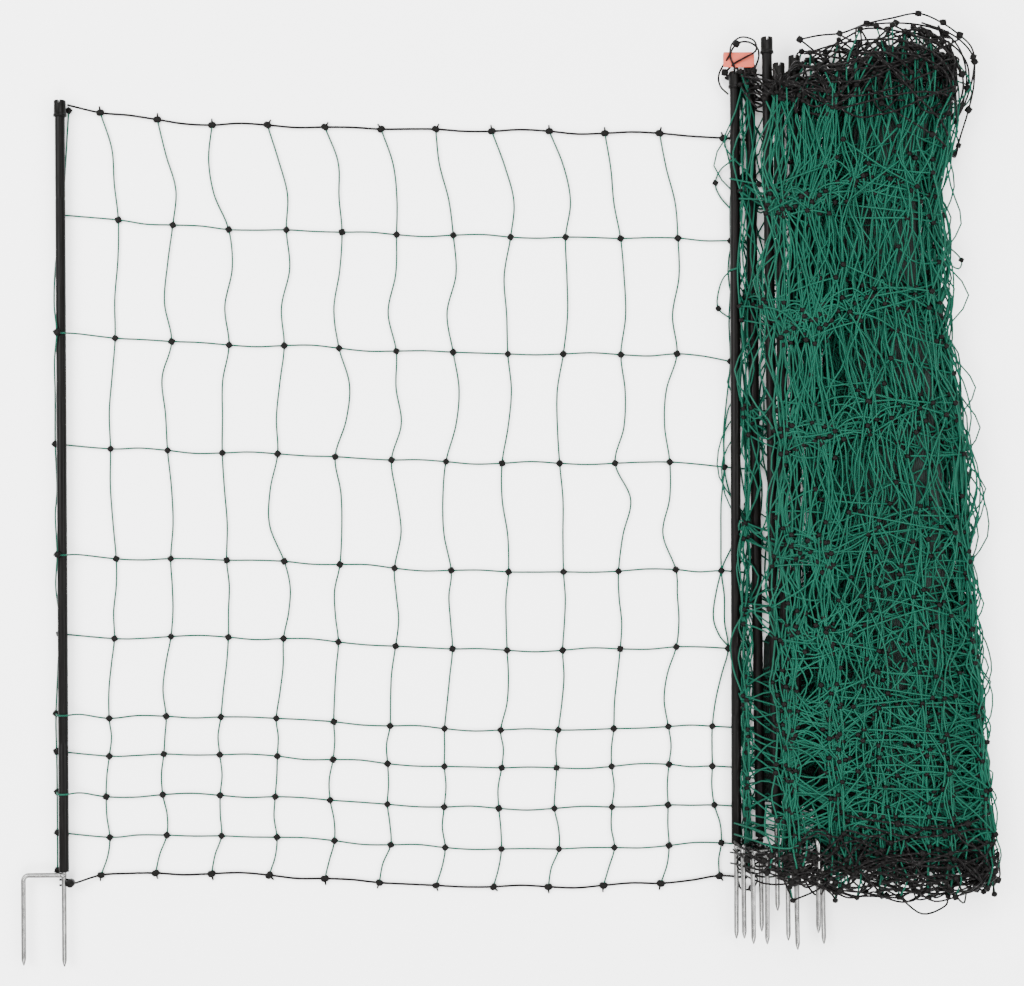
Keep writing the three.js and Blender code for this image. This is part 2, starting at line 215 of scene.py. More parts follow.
def seen(across, down, height):
    """Layout point under a pixel of the photograph, at a height in millimetres."""
    return ((across - FOOT_PIXEL[0]) * MM_PER_PIXEL, (FOOT_PIXEL[1] - down) * MM_PER_PIXEL, height)


def edge_at(pixels, heights):
    """How far across an outline of the photograph stands, at heights in the layout."""
    down = FOOT_PIXEL[1] - np.asarray(heights, dtype=float) / MM_PER_PIXEL
    rows = [row for row, _ in pixels]
    across = [place for _, place in pixels]
    return (np.interp(down, rows, across) - FOOT_PIXEL[0]) * MM_PER_PIXEL


class NettingSizes(bpy.types.PropertyGroup):
    """Sizes of the net, in millimetres where they are lengths."""

    cord: FloatProperty(name="Green cord", description="Thickness of the green twine", default=2.5)
    line: FloatProperty(
        name="Conducting line", description="Thickness of the top and bottom lines", default=2.9)
    knot: FloatProperty(name="Knot", description="Width of a moulded knot", default=9.7)
    line_knot: FloatProperty(name="Line knot", description="Width of a knot on a line", default=11.5)
    spacing: FloatProperty(name="Upright spacing", description="From one upright to the next", default=81.5)
    seed: IntProperty(name="Seed", description="Which way the folds fall", default=7)


def colour(name, description, value):
    """A colour property."""
    return FloatVectorProperty(
        name=name, description=description, subtype="COLOR", size=4, min=0, max=1, default=(*value, 1))


class NettingColours(bpy.types.PropertyGroup):
    """Colours of the finishes, as linear values."""

    # Green is the twine's own colour. Dark green is painted shade: the twine down in the grooves between its
    # strands, and strands deep in the bundle.
    green_lit: colour("Green", "Twine where it is clean", (0.0007, 0.050, 0.030))
    green_painted_shade: colour("Dark green", "Twine in its grooves", (0.0003, 0.012, 0.0072))
    black_twine: colour("Black twine", "The lines' black strands", (0.0022, 0.002, 0.002))
    plastic: colour("Black plastic", "Posts, heads, clips and knots", (0.0020, 0.0018, 0.0017))
    steel: colour("Steel", "Spikes, and the wires in the lines", (0.19, 0.188, 0.185))
    tag: colour("Tag", "The blank tag", (0.36, 0.058, 0.033))
    floor: colour("Floor", "The floor under the net", (0.93, 0.93, 0.93))


# Materials


class Shader:
    """A material's node tree, with short ways to add nodes and join them."""

    def __init__(self, tree):
        self.tree = tree
        self.tree.nodes.clear()

    def node(self, kind, settings=None, **inputs):
        node = self.tree.nodes.new(kind)
        for name, value in (settings or {}).items():
            setattr(node, name, value)
        for name, value in inputs.items():
            self.feed(node, name.replace("_", " "), value)
        return node

    def feed(self, node, name, value):
        socket = node.inputs[int(name)] if name.isdigit() else node.inputs[name]
        if isinstance(value, bpy.types.NodeSocket):
            self.tree.links.new(value, socket)
        else:
            socket.default_value = value

    def math(self, operation, first, second=0.0):
        node = self.node("ShaderNodeMath", {"operation": operation})
        self.feed(node, "0", first)
        self.feed(node, "1", second)
        return node.outputs[0]

    def mix(self, factor, first, second):
        node = self.node("ShaderNodeMix", {"data_type": "RGBA"})
        self.feed(node, "0", factor)
        self.feed(node, "6", first)
        self.feed(node, "7", second)
        return node.outputs[2]

    def between(self, value, low, high, out_low=0.0, out_high=1.0):
        node = self.node("ShaderNodeMapRange")
        self.feed(node, "Value", value)
        self.feed(node, "From Min", low)
        self.feed(node, "From Max", high)
        self.feed(node, "To Min", out_low)
        self.feed(node, "To Max", out_high)
        return node.outputs[0]


def new_group(name, inputs, outputs):
    """An empty shader node group with its sockets."""
    group = bpy.data.node_groups.new(name, "ShaderNodeTree")
    shader = Shader(group)
    for label, value in inputs:
        socket = group.interface.new_socket(name=label, in_out="INPUT", socket_type="NodeSocketFloat")
        socket.default_value = value
    for label in outputs:
        group.interface.new_socket(name=label, in_out="OUTPUT", socket_type="NodeSocketFloat")
    entry = group.nodes.new("NodeGroupInput")
    leave = group.nodes.new("NodeGroupOutput")
    return shader, entry, leave


def twist_group():
    """Strands laid round a cord: how high each point stands, and which strand carries a wire."""
    shader, entry, leave = new_group(
        "twisted strands", [("Strands", 3.0), ("Pitch", 9.0), ("Wires", 0.0)], ["Height", "Wire"])
    uv = shader.node("ShaderNodeUVMap", {"uv_map": "along"})
    apart = shader.node("ShaderNodeSeparateXYZ", Vector=uv.outputs[0])
    along = shader.math("DIVIDE", apart.outputs[1], entry.outputs["Pitch"])
    turns = shader.math("SUBTRACT", apart.outputs[0], along)
    strand = shader.math("FRACT", shader.math("MULTIPLY", turns, entry.outputs["Strands"]))
    arch = shader.math("SINE", shader.math("MULTIPLY", strand, math.pi))
    wire_place = shader.math("FRACT", shader.math("ADD", turns, shader.math("MULTIPLY", along, 0.37)))
    beside = shader.math("ABSOLUTE", shader.math("SUBTRACT", wire_place, 0.5))
    wire = shader.math("MULTIPLY", shader.between(beside, 0.05, 0.02), entry.outputs["Wires"])
    shader.feed(leave, "Height", arch)
    shader.feed(leave, "Wire", wire)
    return shader.tree


def wear_group():
    """Uneven patches and fine scratches over a surface."""
    shader, entry, leave = new_group(
        "wear", [("Patch Scale", 40.0), ("Scratch Scale", 300.0), ("Stretch", 0.05)],
        ["Patches", "Scratches"])
    place = shader.node("ShaderNodeTexCoord").outputs["Object"]
    patches = shader.node("ShaderNodeTexNoise", Vector=place, Detail=4.0)
    shader.feed(patches, "Scale", entry.outputs["Patch Scale"])
    drawn = shader.node("ShaderNodeCombineXYZ", X=1.0, Z=1.0)
    shader.feed(drawn, "Y", entry.outputs["Stretch"])
    long_place = shader.node("ShaderNodeVectorMath", {"operation": "MULTIPLY"})
    shader.feed(long_place, "0", place)
    shader.feed(long_place, "1", drawn.outputs[0])
    scratches = shader.node("ShaderNodeTexNoise", Vector=long_place.outputs[0], Detail=3.0)
    shader.feed(scratches, "Scale", entry.outputs["Scratch Scale"])
    shader.feed(leave, "Patches", patches.outputs["Fac"])
    shader.feed(leave, "Scratches", scratches.outputs["Fac"])
    return shader.tree


def tinted(value, factor, lift=0.0):
    """A colour made darker or paler."""
    return tuple(min(channel * factor + lift, 1) for channel in value[:3]) + (1,)


def start_material(name, specular=0.3):
    """A new material, its shader and its surface."""
    material = bpy.data.materials.new(name)
    material.use_nodes = True
    shader = Shader(material.node_tree)
    surface = shader.node("ShaderNodeBsdfPrincipled")
    surface.inputs["Specular IOR Level"].default_value = specular
    output = shader.node("ShaderNodeOutputMaterial")
    shader.tree.links.new(surface.outputs[0], output.inputs["Surface"])
    return material, shader, surface


def placed_group(shader, group, **inputs):
    """A node group put into a material: its outputs."""
    node = shader.node("ShaderNodeGroup", {"node_tree": group})
    for name, value in inputs.items():
        shader.feed(node, name.replace("_", " "), value)
    return node.outputs


def bumped(shader, surface, height, distance, strength=1.0):
    """Raises and lowers a surface's light by a height."""
    bump = shader.node("ShaderNodeBump", Distance=distance, Strength=strength)
    shader.feed(bump, "Height", height)
    shader.feed(surface, "Normal", bump.outputs[0])


def green_twine(colours, twist, wear):
    """Twisted green twine, with painted shade darkening it in its grooves."""
    material, shader, surface = start_material("green twine", 0.1)
    strands = placed_group(shader, twist, Strands=3.0, Pitch=8.0)
    worn = placed_group(shader, wear, Patch_Scale=26.0, Scratch_Scale=900.0, Stretch=1.0)
    # Painted shade: the twine turns dark green down in the grooves between its strands.
    painted_groove_shade = shader.between(strands["Height"], 0.25, 0.85)
    patch = shader.between(worn["Patches"], 0.35, 0.68)
    paler = tinted(colours.green_lit, 1.3, 0.0012)
    lit = shader.mix(patch, colours.green_lit, paler)
    shader.feed(surface, "Base Color", shader.mix(painted_groove_shade, colours.green_painted_shade, lit))
    shader.feed(surface, "Roughness", shader.between(worn["Scratches"], 0.3, 0.7, 0.38, 0.6))
    bumped(shader, surface, strands["Height"], 0.0004, 0.8)
    return material


def black_twine(colours, twist, wear):
    """Twisted black twine with a steel wire in one strand."""
    material, shader, surface = start_material("black twine with wires", 0.05)
    strands = placed_group(shader, twist, Strands=3.0, Pitch=9.0, Wires=1.0)
    worn = placed_group(shader, wear, Patch_Scale=60.0, Scratch_Scale=800.0, Stretch=1.0)
    paler = tinted(colours.black_twine, 2.6)
    dusty = shader.mix(shader.between(worn["Patches"], 0.4, 0.7), colours.black_twine, paler)
    dull_wire = tinted(colours.steel, 0.2)
    shader.feed(surface, "Base Color", shader.mix(strands["Wire"], dusty, dull_wire))
    shader.feed(surface, "Metallic", strands["Wire"])
    shader.feed(surface, "Roughness", shader.between(worn["Scratches"], 0.3, 0.7, 0.35, 0.6))
    bumped(shader, surface, strands["Height"], 0.0005, 0.8)
    return material


def black_plastic(name, colours, wear, patch_scale, stretch, low, high):
    """Moulded black plastic, a little scuffed."""
    material, shader, surface = start_material(name, 0.05)
    worn = placed_group(shader, wear, Patch_Scale=patch_scale, Scratch_Scale=700.0, Stretch=stretch)
    scuffed = tinted(colours.plastic, 3.0)
    scuff = shader.between(worn["Scratches"], 0.52, 0.75)
    rubbed = shader.math("MULTIPLY", scuff, shader.between(worn["Patches"], 0.4, 0.65))
    shader.feed(surface, "Base Color", shader.mix(rubbed, colours.plastic, scuffed))
    shader.feed(surface, "Roughness", shader.between(worn["Patches"], 0.3, 0.7, low, high))
    bumped(shader, surface, worn["Scratches"], 0.00006, 0.6)
    return material


def innermost_folds_painted_shade(colours, wear):
    """Painted shade for the folds that lie deep in the bundle: near black, with dark green streaks."""
    material, shader, surface = start_material("innermost folds")
    place = shader.node("ShaderNodeTexCoord").outputs["Object"]
    strands = shader.node(
        "ShaderNodeTexWave", {"bands_direction": "X"}, Vector=place, Scale=90.0, Distortion=9.0)
    shader.feed(strands, "Detail Scale", 0.35)
    worn = placed_group(shader, wear, Patch_Scale=60.0, Scratch_Scale=500.0, Stretch=0.1)
    lit = shader.between(strands.outputs["Fac"], 0.72, 0.98)
    # Painted shade: the deep folds are near black, their strands dark green.
    painted_shade_colour = tinted(colours.green_painted_shade, 0.16)
    shader.feed(surface, "Base Color", shader.mix(lit, painted_shade_colour, colours.green_painted_shade))
    shader.feed(surface, "Roughness", shader.between(worn["Patches"], 0.3, 0.7, 0.7, 0.9))
    bumped(shader, surface, strands.outputs["Fac"], 0.002, 0.8)
    return material


def galvanised_steel(colours, wear):
    """Steel rod, with painted shade darkening it where it turns away from the camera."""
    material, shader, surface = start_material("galvanised steel", 0.5)
    worn = placed_group(shader, wear, Patch_Scale=120.0, Scratch_Scale=500.0, Stretch=0.08)
    duller = tinted(colours.steel, 0.6)
    painted_shade_colour = tinted(colours.steel, 0.1)
    front = shader.mix(shader.between(worn["Patches"], 0.35, 0.7), colours.steel, duller)
    # Painted shade: the colour goes near black where the surface faces away from the camera.
    facing = shader.node("ShaderNodeLayerWeight", Blend=0.5).outputs["Facing"]
    shader.feed(surface, "Base Color", shader.mix(shader.between(facing, 0.3, 0.75), front, painted_shade_colour))
    surface.inputs["Metallic"].default_value = 1.0
    shader.feed(surface, "Roughness", shader.between(worn["Scratches"], 0.3, 0.7, 0.16, 0.34))
    bumped(shader, surface, worn["Scratches"], 0.00008, 0.5)
    return material


def tag_plastic(colours, wear):
    """Plain salmon plastic, a little faded."""
    material, shader, surface = start_material("salmon tag", 0.1)
    worn = placed_group(shader, wear, Patch_Scale=90.0, Scratch_Scale=600.0, Stretch=1.0)
    faded = tinted(colours.tag, 0.85, 0.015)
    shader.feed(surface, "Base Color", shader.mix(
        shader.between(worn["Patches"], 0.35, 0.7), colours.tag, faded))
    shader.feed(surface, "Roughness", shader.between(worn["Scratches"], 0.3, 0.7, 0.5, 0.7))
    bumped(shader, surface, worn["Scratches"], 0.00005, 0.5)
    return material


def pale_floor(colours, wear):
    """A pale floor with faint patches."""
    material, shader, surface = start_material("pale floor")
    worn = placed_group(shader, wear, Patch_Scale=3.0, Scratch_Scale=60.0, Stretch=1.0)
    duller = tinted(colours.floor, 0.985)
    shader.feed(surface, "Base Color", shader.mix(worn["Patches"], colours.floor, duller))
    surface.inputs["Roughness"].default_value = 0.9
    return material


def materials():
    """Every finish, made once and then found by name."""
    if "green twine" not in bpy.data.materials:
        colours = bpy.context.scene.netting_colours
        twist = twist_group()
        wear = wear_group()
        green_twine(colours, twist, wear)
        black_twine(colours, twist, wear)
        black_plastic("knot plastic", colours, wear, 350.0, 1.0, 0.30, 0.55)
        black_plastic("post plastic", colours, wear, 30.0, 0.03, 0.28, 0.46)
        innermost_folds_painted_shade(colours, wear)
        galvanised_steel(colours, wear)
        tag_plastic(colours, wear)
        pale_floor(colours, wear)
    return bpy.data.materials


# Meshes


def finish_piece(piece, replaced=()):
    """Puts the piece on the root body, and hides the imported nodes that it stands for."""
    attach(piece, "root")
    if replaced:
        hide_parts(*replaced)
    return piece


def link_mesh(name, mesh, *material_names):
    """A new object of a mesh, with its materials."""
    piece = bpy.data.objects.new(name, mesh)
    bpy.context.scene.collection.objects.link(piece)
    for material_name in material_names:
        mesh.materials.append(materials()[material_name])
    return piece


# What lies on the floor is flattened against it, a tenth of a millimetre above
LOWEST_Z = 0.0001


def joined_object(name, parts, *material_names):
    """One mesh from arrays: each part is points in layout millimetres, faces and their corners' UVs."""
    points, faces, uvs = [], [], []
    offset = 0
    for part_points, part_faces, part_uvs in parts:
        points.append(part_points)
        faces.extend(block + offset for block in part_faces)
        uvs.extend(part_uvs)
        offset += len(part_points)
    corners = np.concatenate([block.ravel() for block in faces]).astype(np.int32)
    sizes = np.concatenate([np.full(len(block), block.shape[1]) for block in faces])
    starts = (np.cumsum(sizes) - sizes).astype(np.int32)
    mesh = bpy.data.meshes.new(name)
    places = world(np.concatenate(points))
    places[:, 2] = np.maximum(places[:, 2], LOWEST_Z)
    mesh.vertices.add(len(places))
    mesh.vertices.foreach_set("co", places.astype(np.float32).ravel())
    mesh.loops.add(len(corners))
    mesh.loops.foreach_set("vertex_index", corners)
    mesh.polygons.add(len(starts))
    mesh.polygons.foreach_set("loop_start", starts)
    mesh.update(calc_edges=True)
    layer = mesh.uv_layers.new(name="along")
    corner_uvs = np.concatenate([block.reshape(-1, 2) for block in uvs])
    layer.data.foreach_set("uv", corner_uvs.astype(np.float32).ravel())
    mesh.polygons.foreach_set("use_smooth", np.ones(len(starts), dtype=bool))
    mesh.validate()
    return link_mesh(name, mesh, *material_names)


def unit(vectors):
    return vectors / np.maximum(np.linalg.norm(vectors, axis=-1, keepdims=True), 1e-9)


def smooth_paths(controls, steps):
    """Curves through every control point, with the same count of steps between each two."""
    first = 2 * controls[:, :1] - controls[:, 1:2]
    last = 2 * controls[:, -1:] - controls[:, -2:-1]
    padded = np.concatenate([first, controls, last], axis=1)
    before, here, after, beyond = padded[:, :-3], padded[:, 1:-2], padded[:, 2:-1], padded[:, 3:]
    places = []
    for step in range(steps):
        t = step / steps
        places.append(0.5 * (
            2 * here + (after - before) * t
            + (2 * before - 5 * here + 4 * after - beyond) * t ** 2
            + (3 * here - before - 3 * after + beyond) * t ** 3))
    stacked = np.stack(places, axis=2).reshape(len(controls), -1, 3)
    return np.concatenate([stacked, controls[:, -1:]], axis=1)


def even_path(points, spacing):
    """One curve through the points, with points at even distances."""
    fine = smooth_paths(np.asarray(points, dtype=float)[None], 12)[0]
    lengths = np.concatenate([[0], np.cumsum(np.linalg.norm(np.diff(fine, axis=0), axis=1))])
    count = max(int(round(lengths[-1] / spacing)), 3)
    places = np.linspace(0, lengths[-1], count + 1)
    return np.stack([np.interp(places, lengths, fine[:, axis]) for axis in range(3)], axis=1)[None]


def swept(paths, radius, sides, lobes=0, lobe_depth=0.0, pitch=1.0, first_turn=0.0):
    """Closed cords along paths that have the same count of points."""
    count, steps = paths.shape[:2]
    tangent = unit(np.gradient(paths, axis=1))
    pieces = np.linalg.norm(np.diff(paths, axis=1), axis=2)
    lengths = np.concatenate([np.zeros((count, 1)), np.cumsum(pieces, axis=1)], axis=1)
    side = np.cross(tangent[:, 0], (0.0, 0.0, 1.0))
    steep = np.linalg.norm(side, axis=1) < 0.2
    side[steep] = np.cross(tangent[steep, 0], (1.0, 0.0, 0.0))
    sides_at = np.empty_like(paths)
    for step in range(steps):
        along = tangent[:, step]
        side = unit(side - along * np.sum(side * along, axis=1, keepdims=True))
        sides_at[:, step] = side
    up_at = np.cross(tangent, sides_at)
    turn = 2 * math.pi * np.arange(sides) / sides
    reach = np.broadcast_to(radius, (count, steps))[:, :, None] * np.ones(sides)
    if lobes:
        phase = lobes * (turn - 2 * math.pi * lengths[:, :, None] / pitch + first_turn)
        reach = reach * (1 + lobe_depth * np.cos(phase))
    ring = np.cos(turn)[:, None] * sides_at[:, :, None] + np.sin(turn)[:, None] * up_at[:, :, None]
    points = (paths[:, :, None] + reach[..., None] * ring).reshape(-1, 3)
    corner = np.arange(sides)
    following = (corner + 1) % sides
    first = (np.arange(count)[:, None, None] * steps + np.arange(steps - 1)[None, :, None]) * sides
    quads = np.stack([
        first + corner, first + following, first + sides + following, first + sides + corner], axis=-1)
    start = (np.arange(count) * steps * sides)[:, None]
    start_caps = start + corner[::-1]
    end_caps = start + (steps - 1) * sides + corner
    around = np.stack([corner, corner + 1, corner + 1, corner], axis=-1) / sides
    along = np.stack([lengths[:, :-1], lengths[:, :-1], lengths[:, 1:], lengths[:, 1:]], axis=-1)
    quad_uvs = np.empty((count, steps - 1, sides, 4, 2))
    quad_uvs[..., 0] = around
    quad_uvs[..., 1] = along[:, :, None]
    cap_uvs = np.zeros((count * 2, sides, 2))
    faces = [quads.reshape(-1, 4), start_caps, end_caps]
    return points, faces, [quad_uvs.reshape(-1, 4, 2), cap_uvs]


def turns_about(axis, angles):
    """Rotation matrices about X, Y or Z for an array of angles."""
    cosine, sine = np.cos(angles), np.sin(angles)
    matrices = np.zeros((len(angles), 3, 3))
    first, second = (axis + 1) % 3, (axis + 2) % 3
    matrices[:, axis, axis] = 1
    matrices[:, first, first] = cosine
    matrices[:, second, second] = cosine
    matrices[:, second, first] = sine
    matrices[:, first, second] = -sine
    return matrices


def copies(template, places, sizes, turns):
    """A template's points and faces at many places, each with its own size and turn."""
    base, faces = template
    moved = np.einsum("nij,kj->nki", turns, base) * np.asarray(sizes)[:, None, None] + places[:, None]
    offsets = (np.arange(len(places)) * len(base))[:, None, None]
    all_faces = (faces[None] + offsets).reshape(-1, faces.shape[1])
    return moved.reshape(-1, 3), [all_faces], [np.zeros((len(all_faces), faces.shape[1], 2))]


def template_from(bm):
    """Points and three-cornered faces of a bmesh, which is then freed."""
    bmesh.ops.triangulate(bm, faces=bm.faces[:])
    bm.verts.index_update()
    points = np.array([vert.co[:] for vert in bm.verts])
    faces = np.array([[vert.index for vert in face.verts] for face in bm.faces])
    bm.free()
    return points, faces


KNOT_FLATNESS = 0.74
DIMPLE_RADIUS = 0.45
DIMPLE_DEPTH = 0.28


def knot_template(round_steps, height_steps, collar_sides):
    """A moulded knot of unit radius: a flattened ball with a dimple, and a collar for each cord."""
    bm = bmesh.new()
    bmesh.ops.create_uvsphere(bm, u_segments=round_steps, v_segments=height_steps, radius=1.0)
    for vert in bm.verts:
        from_axis = math.hypot(vert.co.x, vert.co.y)
        if from_axis < DIMPLE_RADIUS:
            vert.co.z -= math.copysign(DIMPLE_DEPTH * (1 - from_axis / DIMPLE_RADIUS), vert.co.z)
        vert.co.z *= KNOT_FLATNESS
    if collar_sides:
        for quarter in range(4):
            turn = Matrix.Rotation(quarter * math.pi / 2, 4, "Z")
            place = turn @ Matrix.Translation((0.90, 0, 0)) @ Matrix.Rotation(math.pi / 2, 4, "Y")
            bmesh.ops.create_cone(
                bm, cap_ends=True, segments=collar_sides, radius1=0.32, radius2=0.27, depth=0.4, matrix=place)
    return template_from(bm)


def spindle_template():
    """A knot tied in a line: two bulges with a cleft between them, and a short cut tail."""
    bm = bmesh.new()
    for side in (-1, 1):
        place = Matrix.Translation((side * 0.34, 0, 0)) @ Matrix.Diagonal((0.78, 0.88, 0.6, 1))
        bmesh.ops.create_uvsphere(bm, u_segments=12, v_segments=8, radius=1.0, matrix=place)
    tail = Matrix.Translation((0.05, 1.15, 0)) @ Matrix.Rotation(-math.pi / 2, 4, "X")
    bmesh.ops.create_cone(bm, cap_ends=True, segments=8, radius1=0.3, radius2=0.2, depth=1.1, matrix=tail)
    return template_from(bm)


# Spread panel


def knot_place(row, column, spacing):
    """A crossing of the spread panel: its rows hang lower to the right, each a little unevenly."""
    blend = min(row / ROWS_UNTIL_LOWER_DROP, 1)
    drop = TOP_LINE_DROP[column] * (1 - blend) + LOWER_ROWS_DROP[column] * blend
    shift = 1.5 * math.sin(row * 2.1 + column * 1.7)
    return np.array((FIRST_KNOTS[row] + spacing * column + shift, ROW_HEIGHTS[row] - drop, CORD_Z))


def panel_knot(row, column, spacing):
    """Knots of the spread panel, with the last upright's where the photograph shows them."""
    if column < COLUMN_COUNT:
        return knot_place(row, column, spacing)
    return np.array(seen(*LAST_KNOT_PIXELS[row], CORD_Z))


def end_post_axis(height):
    """How far across the end post's axis stands at a height."""
    return END_POST_LEAN * height


def edge_knot(row):
    """A knot of the net's edge, beside or in front of the end post."""
    height = ROW_HEIGHTS[0] + 3 if row == TOP_ROW else ROW_HEIGHTS[row] + EDGE_KNOT_RISE
    front = END_POST_Z + TUBE_R + FIT_GAP + KNOT_HEIGHT / 2
    z = front if row in ROWS_WITH_KNOT_IN_FRONT else CORD_Z
    return np.array((end_post_axis(height) + EDGE_KNOT_OFFSETS[row], height, z))


def row_start(row):
    """A row's first points: at its edge knot and, where it passes over the post, round its front."""
    knot = edge_knot(row)
    if row not in ROWS_OVER_POST:
        return [knot]
    first_angle = 90 if row in ROWS_WITH_KNOT_IN_FRONT else 180
    height = knot[1] - 1
    points = [knot]
    for angle in range(first_angle, 44, -15):
        turn = math.radians(angle)
        points.append((
            end_post_axis(height) + OVER_POST_R * math.cos(turn), height,
            END_POST_Z + OVER_POST_R * math.sin(turn)))
    points.append((end_post_axis(height) + 24, height, CORD_Z + 3))
    return points


def row_points(row, start, spacing):
    """A row of the spread panel, from its first points to where it goes in among the posts."""
    points = [np.array(point) for point in start]
    for column in range(COLUMN_COUNT + 1):
        knot = panel_knot(row, column, spacing)
        if column:
            middle = (knot + panel_knot(row, column - 1, spacing)) / 2
            middle[1] += ROW_WAVE * math.sin(row * 1.9 + column * 2.6)
            points.append(middle)
        points.append(knot)
    points.append(np.array(seen(ROW_END_PIXEL, FOOT_PIXEL[1] - points[-1][1] / MM_PER_PIXEL + 2, 2.4)))
    return points


def upright_points(column, spacing):
    """An upright of the spread panel, bowed between its knots as the photograph shows."""
    points = []
    for row in range(BOTTOM_ROW):
        above = panel_knot(row, column, spacing)
        below = panel_knot(row + 1, column, spacing)
        points.append(above)
        if row < len(UPPER_BOWS):
            third = above * 2 / 3 + below / 3
            two_thirds = above / 3 + below * 2 / 3
            third[0] += UPPER_BOWS[row][column % COLUMN_COUNT]
            two_thirds[0] += LOWER_BOWS[row][column % COLUMN_COUNT]
            points += [third, two_thirds]
        else:
            middle = (above + below) / 2
            middle[0] += SHORT_GAP_BOW * math.sin(row * 2.3 + column * 1.9)
            points.append(middle)
    points.append(panel_knot(BOTTOM_ROW, column, spacing))
    return points


def edge_cord_points():
    """The net's edge cord, which winds round the end post between its knots."""
    knots = [edge_knot(row) for row in range(len(ROW_HEIGHTS))]
    reach = OVER_POST_R + 0.6

    def beside(row, share, z, out):
        point = knots[row] * (1 - share) + knots[row + 1] * share
        return np.array((end_post_axis(point[1]) - out, point[1], z))

    return [
        knots[0], knots[1],
        beside(1, 0.4, CORD_Z, reach), beside(1, 0.75, END_POST_Z, reach), knots[2],
        beside(2, 0.25, END_POST_Z, reach), beside(2, 0.55, CORD_Z, reach + 2), knots[3],
        beside(3, 0.4, CORD_Z, reach), beside(3, 0.65, END_POST_Z, reach), knots[4],
        beside(4, 0.4, END_POST_Z, reach), beside(4, 0.75, CORD_Z, reach - 2),
        *knots[5:],
    ]


# Folded net


def obstacles():
    """What cords lie against: stretches of height, each with a line across and up, and a radius."""
    found = []
    for post in POSTS.values():
        foot, lean = post["y"], post["lean"]
        turn = math.radians(post["turn"])
        axis = (post["x"], post["z"])
        prong = (axis[0] + PRONG_SPACING * math.cos(turn), axis[1] + PRONG_SPACING * math.sin(turn))
        head_low = foot + TUBE_LENGTH - HEAD_SOCKET
        found.append((foot - 4, head_low, axis, axis, foot, lean, TUBE_R))
        found.append((head_low, head_low + HEAD_HEIGHT + 3, axis, axis, foot, lean, COLLAR_D / 2))
        found.append((foot - SPIKE_LENGTH, foot - 4, axis, axis, foot, lean, SPIKE_R))
        found.append((foot - PRONG_LENGTH, foot - PRONG_DROP, prong, prong, foot, lean, SPIKE_R))
        found.append((foot - PRONG_DROP - 7, foot - PRONG_DROP + 7, axis, prong, foot, lean, SPIKE_R))
    return found


def clear_of_posts(points, cord_r):
    """Moves points of cords straight out of the posts that they would cut into."""
    shape = points.shape
    flat = points.reshape(-1, 3).copy()
    for _ in range(4):
        for low, high, near, far, foot, lean, radius in obstacles():
            chosen = np.nonzero((flat[:, 1] > low) & (flat[:, 1] < high))[0]
            place = flat[chosen]
            shift = lean * (place[:, 1] - foot)
            start = np.stack([near[0] + shift, np.full(len(place), near[1])], axis=1)
            span = np.array((far[0] - near[0], far[1] - near[1]))
            here = place[:, [0, 2]]
            share = np.zeros(len(place))
            if span.any():
                share = np.clip((here - start) @ span / (span @ span), 0, 1)
            away = here - (start + share[:, None] * span)
            distance = np.linalg.norm(away, axis=1)
            needed = radius + cord_r + FIT_GAP
            close = distance < needed
            out = unit(away[close] + 1e-6)
            flat[chosen[close], 0] += out[:, 0] * (needed - distance[close])
            flat[chosen[close], 2] += out[:, 1] * (needed - distance[close])
        flat[:, 2] = np.maximum(flat[:, 2], cord_r + 0.2)
    return flat.reshape(shape)


def wandering(rng, shape, spread, keep):
    """Noise whose each value along the second axis keeps part of the one before."""
    noise = rng.normal(0, spread, shape)
    for place in range(1, shape[1]):
        noise[:, place] = keep * noise[:, place - 1] + math.sqrt(1 - keep ** 2) * noise[:, place]
    return noise


def layer_order():
    """Band and layer of every folded upright, in the order in which the net is folded back and forth."""
    order = []
    layer = 0
    for kind in LAYER_KINDS:
        for place in range(kind["count"]):
            bands = list(range(kind["first_band"], len(BAND_PLACES)))
            if layer % 2:
                bands.reverse()
            rise = kind["low"] + (kind["high"] - kind["low"]) * place / (kind["count"] - 1)
            order += [(band, layer, rise, kind["over_posts"]) for band in bands]
            layer += 1
    return order


def band_height(band, rise, over_posts):
    """How high an upright lies: under or over the posts on the left, and by its layer on the right."""
    stacked = FOLDED_LOWEST_Z + rise * (FOLDED_TOP_Z - FOLDED_LOWEST_Z)
    if band >= BANDS_BESIDE_POSTS:
        return stacked * (LAST_BAND_SINKS_TO if band == len(BAND_PLACES) - 1 else 1.0)
    if over_posts:
        return BAND_Z_OVER[band]
    return min(BAND_Z_UNDER[band], stacked)


